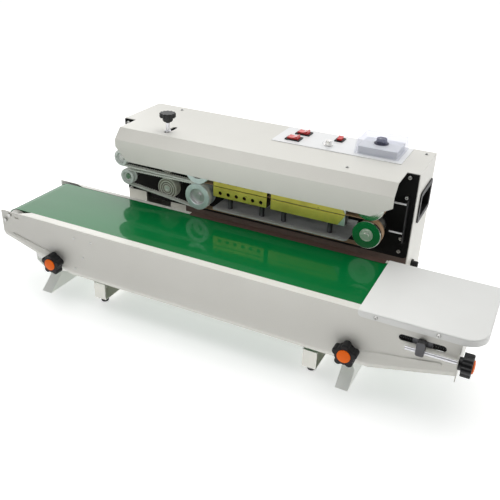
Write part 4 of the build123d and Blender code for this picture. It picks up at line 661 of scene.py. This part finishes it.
# %% [markdown]
# ## Lathe work
#
# Caps, bolt heads and washers are bodies of revolution.  A Screw modifier could turn a profile,
# but building the rings directly in bmesh gives clean quads, lets the piece be placed on any axis
# and leaves nothing to apply.

# %% Turning a profile
def new_piece(name, mesh_maker, material, body, smooth=True):
    """A new mesh object that rides on a body of the frame."""
    mesh = bpy.data.meshes.new(name)
    work = bmesh.new()
    mesh_maker(work)
    bmesh.ops.recalc_face_normals(work, faces=work.faces)
    work.to_mesh(mesh)
    work.free()
    if smooth:
        mesh.shade_smooth()
        mesh.set_sharp_from_angle(angle=math.radians(32))
    piece = bpy.data.objects.new(name, mesh)
    bpy.context.scene.collection.objects.link(piece)
    mesh.materials.append(material)
    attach(piece, body)
    return piece


def axis_frame(origin, axis):
    """A matrix that stands local +Z along axis at origin."""
    turn = Vector((0, 0, 1)).rotation_difference(Vector(axis)).to_matrix().to_4x4()
    return Matrix.Translation(Vector(origin)) @ turn


def turn_profile(work, profile, place, steps=48):
    """Revolves (radius, height) points about local Z and closes the ends that touch the axis."""
    rings = []
    for radius, height in profile:
        if radius < 1e-7:
            rings.append([work.verts.new(place @ Vector((0, 0, height)))])
            continue
        ring = []
        for i in range(steps):
            angle = 2 * math.pi * i / steps
            spot = Vector((radius * math.cos(angle), radius * math.sin(angle), height))
            ring.append(work.verts.new(place @ spot))
        rings.append(ring)
    for low, high in zip(rings, rings[1:]):
        for i in range(steps):
            j = (i + 1) % steps
            if len(low) == 1:
                work.faces.new((low[0], high[i], high[j]))
            elif len(high) == 1:
                work.faces.new((low[i], low[j], high[0]))
            else:
                work.faces.new((low[i], low[j], high[j], high[i]))


print("a lathe helper is ready")

# %% [markdown]
# ## Orange caps of the hand knobs
#
# Each clamping knob has an orange cap that snaps over its screw.  It is a shallow dome with a
# rounded rim, and it sits on the outer face of the knob, so its place is the end of that knob's
# box.

# %% Knob caps
def cap_profile(radius, rise, steps=6):
    rim = 0.8 * MM
    points = [(0.0, 0.0), (radius, 0.0), (radius, rise * 0.45)]
    for i in range(1, steps + 1):
        angle = math.pi / 2 * i / steps
        spot = (radius - rim) + rim * math.cos(angle)
        points.append((spot, rise * 0.45 + rim * 0.5 * math.sin(angle)))
    top = points[-1][1]
    for i in range(1, steps + 1):
        share = i / steps
        points.append(((radius - rim) * (1 - share), top + (rise - top) * (1 - (1 - share) ** 2)))
    return points


def add_cap(name, body, origin, axis, radius, rise):
    def build(work):
        turn_profile(work, cap_profile(radius, rise), axis_frame(origin, axis))

    cap = new_piece(name, build, made["orange_plastic"], body)
    return cap


for side in ("left", "right"):
    low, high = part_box("leg_knob_" + side)
    centre = ((low.x + high.x) / 2, low.y + 1.9 * MM, (low.z + high.z) / 2 - 0.6 * MM)
    add_cap("leg_knob_cap_" + side, "leg_knob_" + side, centre, (0, -1, 0), 11.2 * MM, 3.4 * MM)
for end in ("front", "rear"):
    low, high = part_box("tension_screw_" + end)
    centre = (high.x - 1.4 * MM, (low.y + high.y) / 2, (low.z + high.z) / 2)
    add_cap("tension_cap_" + end, "tension_screw_" + end, centre, (1, 0, 0), 10.4 * MM, 3.0 * MM)

# %% [markdown]
# ## Coil springs of the belt tensioner
#
# Four small compression springs push the idler roller's blocks along the rail slots.  In the
# frame they are stacks of rings; a real spring is one round wire on a helix.  A curve with a
# bevel would do, but sweeping the wire's section in bmesh is just as short, and leaves a mesh with
# closed ends.

# %% Wire swept along points
def sweep_wire(work, points, radius, sides=8):
    """A closed round wire through the points, capped at both ends."""
    rings = []
    for i, point in enumerate(points):
        ahead = (points[min(i + 1, len(points) - 1)] - points[max(i - 1, 0)]).normalized()
        first = ahead.orthogonal() if i == 0 else first - ahead * first.dot(ahead)
        first.normalize()
        second = ahead.cross(first)
        angles = [2 * math.pi * k / sides for k in range(sides)]
        ring = [point + radius * (math.cos(a) * first + math.sin(a) * second) for a in angles]
        rings.append([work.verts.new(spot) for spot in ring])
    for low, high in zip(rings, rings[1:]):
        for k in range(sides):
            work.faces.new((low[k], low[(k + 1) % sides], high[(k + 1) % sides], high[k]))
    work.faces.new(rings[0][::-1])
    work.faces.new(rings[-1])


print("a wire helper is ready")

# %% [markdown]
# ## Finding the loose parts of a piece
#
# Springs and screw heads come several to a packed piece.  Walking along the edges from vertex to
# vertex until none is left gives the loose parts, and the box of each says where it is.

# %% Loose parts
def islands(obj):
    """The lowest and highest corners of each loose part of a node's mesh."""
    work = bmesh.new()
    work.from_mesh(obj.data)
    bmesh.ops.remove_doubles(work, verts=work.verts, dist=1e-6)
    left, boxes = set(work.verts), []
    while left:
        front, part = [left.pop()], []
        while front:
            vert = front.pop()
            part.append(vert.co.copy())
            near = {e.other_vert(vert) for e in vert.link_edges} & left
            left -= near
            front += near
        lows = Vector([min(v[k] for v in part) for k in range(3)])
        highs = Vector([max(v[k] for v in part) for k in range(3)])
        boxes.append((lows, highs))
    work.free()
    return sorted(boxes, key=lambda pair: tuple(pair[0]))


print("loose parts of tension_springs:", len(islands(nodes["tension_springs"])))

# %% [markdown]
# ## The helix
#
# Each spring fills the box of the part that it replaces.  The first and the last half turn lie
# flat, as on a spring with closed ends, so the climb is squeezed into the turns between.

# %% Springs
WIRE = 0.5 * MM
SPRING_TURNS = 7
STEPS_PER_TURN = 20


def spring_points(low, high):
    """Points of a helix along X that fills the box; the last half turn at each end lies flat."""
    radius = (high.z - low.z) / 2 - WIRE
    middle = (low + high) / 2
    length = high.x - low.x - 2 * WIRE
    steps = STEPS_PER_TURN * SPRING_TURNS
    points = []
    for i in range(steps + 1):
        turn = i / STEPS_PER_TURN
        share = min(max((turn - 0.5) / (SPRING_TURNS - 1.0), 0.0), 1.0)
        x = low.x + WIRE + length * share
        angle = 2 * math.pi * turn
        y = middle.y + radius * math.cos(angle)
        points.append(Vector((x, y, middle.z + radius * math.sin(angle))))
    return points


def spring_set(work):
    for low, high in islands(nodes["tension_springs"]):
        sweep_wire(work, spring_points(low, high), WIRE)


springs = new_piece("coil_springs", spring_set, made["dark_steel"], "conveyor")
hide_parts("tension_springs")
print("spring faces:", len(springs.data.polygons))

# %% [markdown]
# ## Closing outlines into solids
#
# Many small pieces are an outline that is repeated at two or three heights.  One helper joins the
# outlines with side walls and caps the last and the first, so each piece only has to say where
# its corners are.

# %% Stacked outlines
def join_outlines(work, outlines):
    """A closed solid through outlines with the same number of corners, from bottom to top."""
    rings = [[work.verts.new(corner) for corner in outline] for outline in outlines]
    for low, high in zip(rings, rings[1:]):
        for i in range(len(low)):
            j = (i + 1) % len(low)
            work.faces.new((low[i], low[j], high[j], high[i]))
    work.faces.new(rings[0][::-1])
    work.faces.new(rings[-1])


print("an outline helper is ready")

# %% [markdown]
# ## Shade plate behind the slot
#
# It is dark behind the coils of the springs, where the slot lies in shade.  A black plate inside the
# rail puts that dark there: it is painted shade, and it also stands for the black slide that the
# tensioner's block runs along, with a hole for the roller's shaft.  Rays from the shaft's axis meet
# the plate's outline and the hole at the same angles, so joining the two rings ray by ray makes the
# plate without any Boolean.

# %% Shade plate
PLATE_RAYS = 64
PLATE_HALF_HEIGHT = 13.0 * MM
PLATE_THICKNESS = 1.0 * MM
PLATE_MARGIN = 2.5 * MM
PLATE_BEHIND_SPRINGS = 3.4 * MM
SHAFT_HOLE = 8.5 * MM


def axis_of(node):
    """The X and Z of the axis of a turned node whose axis is along Y."""
    low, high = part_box(node)
    return Vector(((low.x + high.x) / 2, (low.z + high.z) / 2))


def slot_shade_plate(work):
    """A rectangular plate across Y with a round hole on the idler roller's axis."""
    axis = axis_of("idler_roller")
    front_spring = islands(nodes["tension_springs"])[0]
    reach_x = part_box("tension_springs")[1].x - axis.x + PLATE_MARGIN
    front = front_spring[1].y + PLATE_BEHIND_SPRINGS
    rings = []
    for y in (front, front + PLATE_THICKNESS):
        inner, outer = [], []
        for i in range(PLATE_RAYS):
            angle = 2 * math.pi * (i + 0.5) / PLATE_RAYS
            ray = Vector((math.cos(angle), math.sin(angle)))
            reach = min(reach_x / abs(ray.x), PLATE_HALF_HEIGHT / abs(ray.y))
            for ring, distance in ((inner, SHAFT_HOLE), (outer, reach)):
                spot = axis + distance * ray
                ring.append(work.verts.new((spot.x, y, spot.y)))
        rings.append((inner, outer))
    (front_in, front_out), (rear_in, rear_out) = rings
    for i in range(PLATE_RAYS):
        j = (i + 1) % PLATE_RAYS
        work.faces.new((front_in[i], front_out[i], front_out[j], front_in[j]))
        work.faces.new((rear_in[j], rear_out[j], rear_out[i], rear_in[i]))
        work.faces.new((front_out[i], rear_out[i], rear_out[j], front_out[j]))
        work.faces.new((front_in[j], rear_in[j], rear_in[i], front_in[i]))


# the black plate is painted shade in the slot, and stands for the block's slide
plate = new_piece("tension_slot_shade_plate", slot_shade_plate, made["black_plastic"], "conveyor", smooth=False)
print("slide plate faces:", len(plate.data.polygons))

# %% [markdown]
# ## Painted shade strip on the rear rail
#
# Behind the belt, under the sealing bands, the rail's lip looks dark brown, from the head's shade and
# the brown bands that it reflects.  A thin brown strip puts that there as painted shade and a painted
# reflection; it has rounded ends and a softened upper edge, and one outline at three heights, the last
# drawn in a little, gives all of that.

# %% Shade strip
STRIP_LEFT, STRIP_RIGHT = -0.132, 0.262
STRIP_BEND = 3.0 * MM
STRIP_LEVELS = ((-0.1 * MM, 0.0), (0.35 * MM, 0.0), (0.6 * MM, 0.3 * MM))


def strip_outline(front, rear, z, inset, steps=6):
    """A rectangle in X and Y whose corners are rounded with quarter circles."""
    bend = STRIP_BEND
    corners = [(STRIP_RIGHT - bend, rear - bend, 0), (STRIP_LEFT + bend, rear - bend, 1)]
    corners += [(STRIP_LEFT + bend, front + bend, 2), (STRIP_RIGHT - bend, front + bend, 3)]
    points = []
    for x, y, quarter in corners:
        for i in range(steps + 1):
            angle = math.pi / 2 * (quarter + i / steps)
            reach = bend - inset
            points.append((x + reach * math.cos(angle), y + reach * math.sin(angle), z))
    return points


def shade_strip(work):
    low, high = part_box("rear_rail")
    outlines = [strip_outline(low.y, high.y, high.z + rise, inset) for rise, inset in STRIP_LEVELS]
    join_outlines(work, outlines)


@finish
def shade_strip_brown():
    return moulded("shade_strip_brown", PAINTED_SHADE_BROWN, 0.5, 0.00002, 0.0, specular_ior_level=0.2)


# the dark brown strip is painted shade and a painted reflection of the bands
strip = new_piece("rear_shade_strip", shade_strip, made["shade_strip_brown"], "conveyor")
print("wear strip corners:", len(strip.data.vertices))

# %% [markdown]
# ## The path of a toothed belt
#
# Two pale timing belts run from the small pulleys to the left sealing wheels and carry the bag's
# mouth in.  The teeth are on the inside.  The loop is two arcs and two tangents, and a belt needs
# a whole number of teeth, so the loop is walked in equal steps of about a quarter of the pitch.

# %% Belt loops
TOOTH_PITCH = 5.0 * MM
TOOTH_DEPTH = 1.1 * MM
WHEEL_TRACK, PULLEY_TRACK = 23.5 * MM, 13.2 * MM
BELT_THICKNESS = 3.4 * MM


def loop_stations(first, first_radius, second, second_radius, step):
    """Points and outward normals, a whole number of steps apart, round two circles."""
    apart = second - first
    heading = math.atan2(apart.y, apart.x)
    opening = math.acos((first_radius - second_radius) / apart.length)
    tangent = math.sqrt(apart.length**2 - (first_radius - second_radius) ** 2)
    runs = [
        (first_radius * (2 * math.pi - 2 * opening), first, first_radius, heading + opening),
        (tangent, first, first_radius, heading - opening),
        (second_radius * 2 * opening, second, second_radius, heading - opening),
        (tangent, second, second_radius, heading + opening),
    ]
    total = sum(run[0] for run in runs)
    count = 4 * round(total / step / 4)
    stations = []
    for i in range(count):
        along = total * i / count
        number = 0
        while along > runs[number][0]:
            along -= runs[number][0]
            number += 1
        length, centre, radius, angle = runs[number]
        on_wheel = number in (0, 2)
        if on_wheel:
            angle += along / radius
        normal = Vector((math.cos(angle), math.sin(angle)))
        point = centre + normal * radius
        if not on_wheel:
            point += along * Vector((-normal.y, normal.x))
        stations.append((point, normal))
    return stations


print("one tooth is", round(TOOTH_PITCH / MM, 1), "mm from the next")

# %% [markdown]
# ## Both guide belts
#
# Every station carries a rectangle, and each rectangle is joined to the next.  Two stations with
# the skin on its line and two with it drawn in make one tooth and one gap.

# %% Guide belts
def guide_belt(work, wheel, pulley, front, rear):
    wheel_axis, pulley_axis = axis_of(wheel), axis_of(pulley)
    stations = loop_stations(wheel_axis, WHEEL_TRACK, pulley_axis, PULLEY_TRACK, TOOTH_PITCH / 4)
    rings = []
    for i, (point, normal) in enumerate(stations):
        inner = 0.0 if i % 4 < 2 else TOOTH_DEPTH
        corners = []
        section = ((inner, front), (inner, rear), (BELT_THICKNESS, rear), (BELT_THICKNESS, front))
        for depth, y in section:
            spot = point + normal * depth
            corners.append(work.verts.new((spot.x, y, spot.y)))
        rings.append(corners)
    for low, high in zip(rings, rings[1:] + rings[:1]):
        for k in range(4):
            work.faces.new((low[k], low[(k + 1) % 4], high[(k + 1) % 4], high[k]))


belt_low, belt_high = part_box("guide_belts")


def both_belts(work):
    for level in ("lower", "upper"):
        guide_belt(work, level + "_left_wheel", "small_pulley_" + level, belt_low.y, belt_high.y)


belts = new_piece("toothed_guide_belts", both_belts, made["belt_rubber"], "frame")
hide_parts("guide_belts")
print("belt vertices:", len(belts.data.vertices))

# %% [markdown]
# ## Grooved faces of the middle rollers
#
# The two olive rollers behind the guide belts are turned with rings in their faces and a bright hub.
# A thin disc with that profile sits on each roller and turns with it.  The same list of grooves also
# darkens the colour in the grooves as painted shade, so shape and finish can't drift apart.

# %% Roller faces
GROOVES = ((0.93, 0.80), (0.68, 0.56), (0.46, 0.36))


def grooved_finish(name, centre, radius):
    """Olive plastic with painted shade in its grooves and a bright hub, round an axis along Y."""
    ringed = Finish(name)
    parts = ringed.axes()
    dx, dz = parts[0] - centre.x, parts[2] - centre.y
    share = (dx * dx + dz * dz).root() * (1 / radius)
    groove_shade = 0.0
    for outer, inner in GROOVES:
        groove_shade = (share > inner) * (1 - (share > outer)) + groove_shade
    hub = 1 - (share > 0.24)
    # the dark colour in the grooves is painted shade
    base = ringed.blend(groove_shade, (0.56, 0.57, 0.49), (0.16, 0.155, 0.12))
    ringed.set("Base Color", ringed.blend(hub, base, (0.85, 0.85, 0.83)))
    ringed.set("Roughness", 0.34 + 0.25 * groove_shade + 0.08 * (ringed.noise(120, 3) - 0.5))
    ringed.set("Metallic", 0.6 * hub)
    return ringed.material


def grooved_profile(radius, thick):
    """A flat disc's upper profile with round-bottomed grooves, from the edge to the middle."""
    points = [(radius, 0.0), (radius, thick)]
    for outer, inner in GROOVES:
        bottom = (radius * (outer + inner) / 2, thick * 0.15)
        points += [(radius * outer, thick), bottom, (radius * inner, thick)]
    points += [(radius * 0.22, thick), (radius * 0.14, thick * 0.3), (0.0, thick * 0.3)]
    return [(0.0, 0.0)] + points


for level in ("lower", "upper"):
    node = "mid_pulley_" + level
    low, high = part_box(node)
    middle = axis_of(node)
    face = (middle.x, low.y + 0.02 * MM, middle.y)
    disc_radius = (high.z - low.z) / 2 - 0.7 * MM

    def build(work):
        turn_profile(work, grooved_profile(disc_radius, 0.7 * MM), axis_frame(face, (0, -1, 0)), 64)

    ringed = grooved_finish("ringed_face_" + level, middle, disc_radius)
    disc = new_piece("grooved_face_" + level, build, ringed, node)
print("roller faces added")

# %% [markdown]
# ## Cross recesses of the screws
#
# The sheet-metal screws have domed heads with a cross recess.  At this size a black cross let into the
# top of the head stands for the recess; its dark colour is painted shade.  Each loose part of the
# screws' mesh is one head, so its own box says where the cross goes and, by its thinnest side, which
# way it faces.

# %% Recesses
def recess_shade_cross(work, middle, across, size):
    """A plus sign with tapered arms, standing on the plane across the screw's axis."""
    place = axis_frame(middle, across)
    narrow = size * 0.22
    for half_x, half_y in ((size, narrow), (narrow, size)):
        outlines = []
        for share_x, share_y, z in ((1.0, 1.0, -0.3 * MM), (0.86, 0.8, 0.06 * MM)):
            x, y = half_x * share_x, half_y * share_y
            corners = [(-x, -y, z), (x, -y, z), (x, y, z), (-x, y, z)]
            outlines.append([place @ Vector(corner) for corner in corners])
        join_outlines(work, outlines)


def add_recesses(name, node, body, wanted, middle):
    heads = [pair for pair in islands(nodes[node]) if wanted(pair[1] - pair[0])]

    def build(work):
        for low, high in heads:
            size = high - low
            thin = min(range(3), key=lambda k: size[k])
            spot = (low + high) / 2
            outward = 1 if spot[thin] > middle[thin] else -1
            spot[thin] = high[thin] if outward > 0 else low[thin]
            across = Vector((0, 0, 0))
            across[thin] = outward
            recess_shade_cross(work, spot, across, 0.27 * max(size))

    # the crosses are black: painted shade for the recesses
    piece = new_piece(name, build, made["black_plastic"], body, smooth=False)
    print(name, "heads:", len(heads))


def middle_of(node):
    low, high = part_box(node)
    return (low + high) / 2


def is_tray_screw(size):
    """Tells the tray's screws from the rails' bolts and rivets by their width."""
    return 6.9 * MM < size.x < 7.6 * MM


machine_middle = middle_of("cabinet_shell")
rail_middle = middle_of("conveyor_belt")
add_recesses("cabinet_recess_shades", "cabinet_screws", "frame", lambda size: True, machine_middle)
add_recesses("tray_recess_shades", "conveyor_screws", "conveyor", is_tray_screw, rail_middle)

# %% [markdown]
# ## Scales and pointers of the two dials
#
# The speed knob and the temperature knob each carry a pointer and stand over a printed scale of
# plain tick marks.  Print has no thickness that matters, but as thin geometry it keeps its crisp
# edge at any distance and needs no image.

# %% Scales
SCALE_START, SCALE_STOP = 225, -45
TICKS = 11
PRINT_THICKNESS = 0.08 * MM
BAR_THICKNESS = 0.35 * MM


def raised(outline, height):
    """The outline itself and a copy lifted by height."""
    return [outline, [corner + Vector((0, 0, height)) for corner in outline]]


def tick_ring(work, centre, z, inner, outer):
    """Radial tick marks round a dial; every fifth is longer and wider."""
    for i in range(TICKS):
        angle = math.radians(SCALE_START + (SCALE_STOP - SCALE_START) * i / (TICKS - 1))
        along = Vector((math.cos(angle), math.sin(angle), 0))
        aside = Vector((-along.y, along.x, 0)) * (0.30 if i % 5 else 0.45) * MM
        reach = outer if i % 5 == 0 else inner + 0.6 * (outer - inner)
        base = Vector((centre.x, centre.y, z))
        corners = [base + along * inner - aside, base + along * reach - aside]
        corners += [base + along * reach + aside, base + along * inner + aside]
        join_outlines(work, raised(corners, PRINT_THICKNESS))


print("ticks on each dial:", TICKS)

# %% [markdown]
# ## Pointers
#
# A pointer is a bar from near the knob's axis with a half-round end.  Nine corners on a half
# circle are enough for a piece this small.

# %% Pointers
def pointer(work, centre, z, inner, outer, angle, half):
    """A raised bar with a rounded outer end, pointing away from the knob's axis."""
    along = Vector((math.cos(angle), math.sin(angle), 0))
    aside = Vector((-along.y, along.x, 0))
    base = Vector((centre.x, centre.y, z))
    outline = [base + along * inner - aside * half]
    for k in range(9):
        bend = -math.pi / 2 + math.pi * k / 8
        tip = base + along * (outer + half * math.cos(bend))
        outline.append(tip + aside * half * math.sin(bend))
    outline.append(base + along * inner + aside * half)
    join_outlines(work, raised(outline, BAR_THICKNESS))


@finish
def white_print():
    return moulded("white_print", (0.80, 0.80, 0.78), 0.5, 0.00001, 0.0)


print("print finish:", made["white_print"].name)

# %% [markdown]
# ## Marking both dials
#
# The scale stays with the frame, and the pointer rides on its knob, so it turns with it.

# %% Dials
for knob, under, bar_share in (
    ("speed_knob", "control_panel", 0.45),
    ("temperature_knob", "temperature_controller", 0.35),
):
    low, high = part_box(knob)
    centre = middle_of(knob)
    radius = (high.x - low.x) / 2
    scale_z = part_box(under)[1].z - 0.02 * MM

    def scale(work):
        tick_ring(work, centre, scale_z, radius + 1.2 * MM, radius + 4.2 * MM)

    def bar(work):
        foot, turned = high.z - 0.1 * MM, math.radians(SCALE_START)
        pointer(work, centre, foot, 0.1 * radius, bar_share * radius, turned, 0.7 * MM)

    print_piece = new_piece(knob + "_scale", scale, made["black_plastic"], "frame", smooth=False)
    pointer_piece = new_piece(knob + "_pointer", bar, made["white_print"], knob, smooth=False)
print("dials marked")

# %% [markdown]
# ## The studio
#
# The machine stands on a plain white floor that fades into a white backdrop.  Because the green
# belt mirrors its surroundings, the light that surrounds the machine is as much part of its look
# as its own colour: the world is dark in front and bright behind, which gives the pale sheen, and
# one broad lamp overhead makes the top faces lighter than the upright ones.  Three more lamps fill
# the sealing head, the legs and the belt's left end.

# %% Floor
FLOOR_HALF = 30.0
FLOOR_GAP = 0.0002


def floor_mesh(work):
    bmesh.ops.create_grid(work, x_segments=1, y_segments=1, size=FLOOR_HALF)


ground = Finish("ground", roughness=0.6, specular_ior_level=0.2, emission_strength=0.56)
ground.set("Base Color", ground.blend(ground.noise(1.5, 2), (0.76, 0.76, 0.76), (0.79, 0.79, 0.79)))
ground.set("Emission Color", (1.0, 1.0, 1.0))
floor = bpy.data.objects.new("floor", bpy.data.meshes.new("floor"))
work = bmesh.new()
floor_mesh(work)
work.to_mesh(floor.data)
work.free()
floor.location.z = cad_box[0][2] - FLOOR_GAP
floor.data.materials.append(ground.material)
bpy.context.scene.collection.objects.link(floor)
print("floor height:", floor.location.z)

# %% [markdown]
# ## The world's light
#
# The light from all round grows from front to back along Y.  Rays that come straight from the
# camera see plain white instead, so that gradient never shows behind the machine.

# %% World
FRONT_LIGHT, BACK_LIGHT = 0.0, 1.14
world = bpy.data.worlds.new("studio")
bpy.context.scene.world = world
world.use_nodes = True
sky = world.node_tree.nodes
where = sky.new("ShaderNodeTexCoord")
parts = sky.new("ShaderNodeSeparateXYZ")
ramp = sky.new("ShaderNodeMapRange")
ramp.inputs["From Min"].default_value = -0.5
ramp.inputs["From Max"].default_value = 0.6
ramp.inputs["To Min"].default_value = FRONT_LIGHT
ramp.inputs["To Max"].default_value = BACK_LIGHT
world.node_tree.links.new(where.outputs["Generated"], parts.inputs[0])
world.node_tree.links.new(parts.outputs["Y"], ramp.inputs["Value"])
seen = sky.new("ShaderNodeLightPath")
choice = sky.new("ShaderNodeMix")
choice.inputs[3].default_value = 1.0
world.node_tree.links.new(seen.outputs["Is Camera Ray"], choice.inputs[0])
world.node_tree.links.new(ramp.outputs["Result"], choice.inputs[2])
world.node_tree.links.new(choice.outputs[0], sky["Background"].inputs["Strength"])
sky["Background"].inputs["Color"].default_value = (1.0, 1.0, 1.0, 1.0)
bpy.context.scene.view_settings.view_transform = "Standard"
print("world strength, front and back:", FRONT_LIGHT, BACK_LIGHT)

# %% [markdown]
# ## Lamps
#
# Broad area lamps give soft shadows.  The lamp for the legs is close to the floor and has a
# narrow spread, so that it lights the legs and hardly reaches the rail above them.

# %% Lamps
def add_lamp(name, place, aim, size, watts):
    """A rectangular soft lamp at place that faces aim; it lights but isn't seen itself."""
    light = bpy.data.lights.new(name, "AREA")
    light.shape = "RECTANGLE"
    light.size, light.size_y = size
    light.energy = watts
    lamp = bpy.data.objects.new(name, light)
    lamp.location = place
    lamp.rotation_euler = (Vector(aim) - Vector(place)).to_track_quat("-Z", "Y").to_euler()
    lamp.visible_camera = False
    bpy.context.scene.collection.objects.link(lamp)
    return lamp


add_lamp("overhead", (0.0, 0.15, 2.2), (0.0, 0.0, 0.1), (2.2, 1.6), 17.0)
add_lamp("head_fill", (-0.02, -0.26, 0.37), (0.0, 0.03, 0.22), (0.7, 0.12), 0.45)
leg_fill = add_lamp("leg_fill", (0.0, -0.70, 0.02), (0.0, 0.0, 0.02), (0.9, 0.03), 0.09)
leg_fill.data.spread = math.radians(14)
add_lamp("belt_sheen", (-2.35, 1.50, 1.35), (-0.38, -0.09, 0.17), (1.7, 1.5), 13.0)
print("lamps:", len(bpy.data.lights))

# %% [markdown]
# ## Camera
#
# The camera is set by how it looks at a point: how far round, how high, how far away, and a slight
# roll.  Its axes are worked out from those and go straight into its matrix.

# %% Camera
AZIMUTH, ELEVATION, ROLL = (math.radians(a) for a in (25.24, 28.18, 2.18))
DISTANCE = 1.25778
AIM = Vector((0.0030, -0.0103, 0.1250))
SENSOR = 36.0
LENS = 47.387

level = Vector((math.sin(AZIMUTH), -math.cos(AZIMUTH), 0.0))
back = level * math.cos(ELEVATION) + Vector((0.0, 0.0, math.sin(ELEVATION)))
right = (-back).cross(Vector((0, 0, 1))).normalized()
up = right.cross(-back)
tilted_right = right * math.cos(ROLL) + up * math.sin(ROLL)
tilted_up = up * math.cos(ROLL) - right * math.sin(ROLL)
lens = bpy.data.cameras.new("camera")
lens.lens, lens.sensor_width = LENS, SENSOR
camera = bpy.data.objects.new("camera", lens)
turn = Matrix((tilted_right, tilted_up, back)).transposed().to_4x4()
camera.matrix_world = Matrix.Translation(AIM + back * DISTANCE) @ turn
bpy.context.scene.collection.objects.link(camera)
bpy.context.scene.camera = camera
print("camera at", [round(value, 3) for value in camera.matrix_world.translation])

# %% [markdown]
# ## Sizes and the end
#
# The packed model's box, cad_box, was measured once when the frame was loaded and sets the floor's
# height; nothing is measured again here.
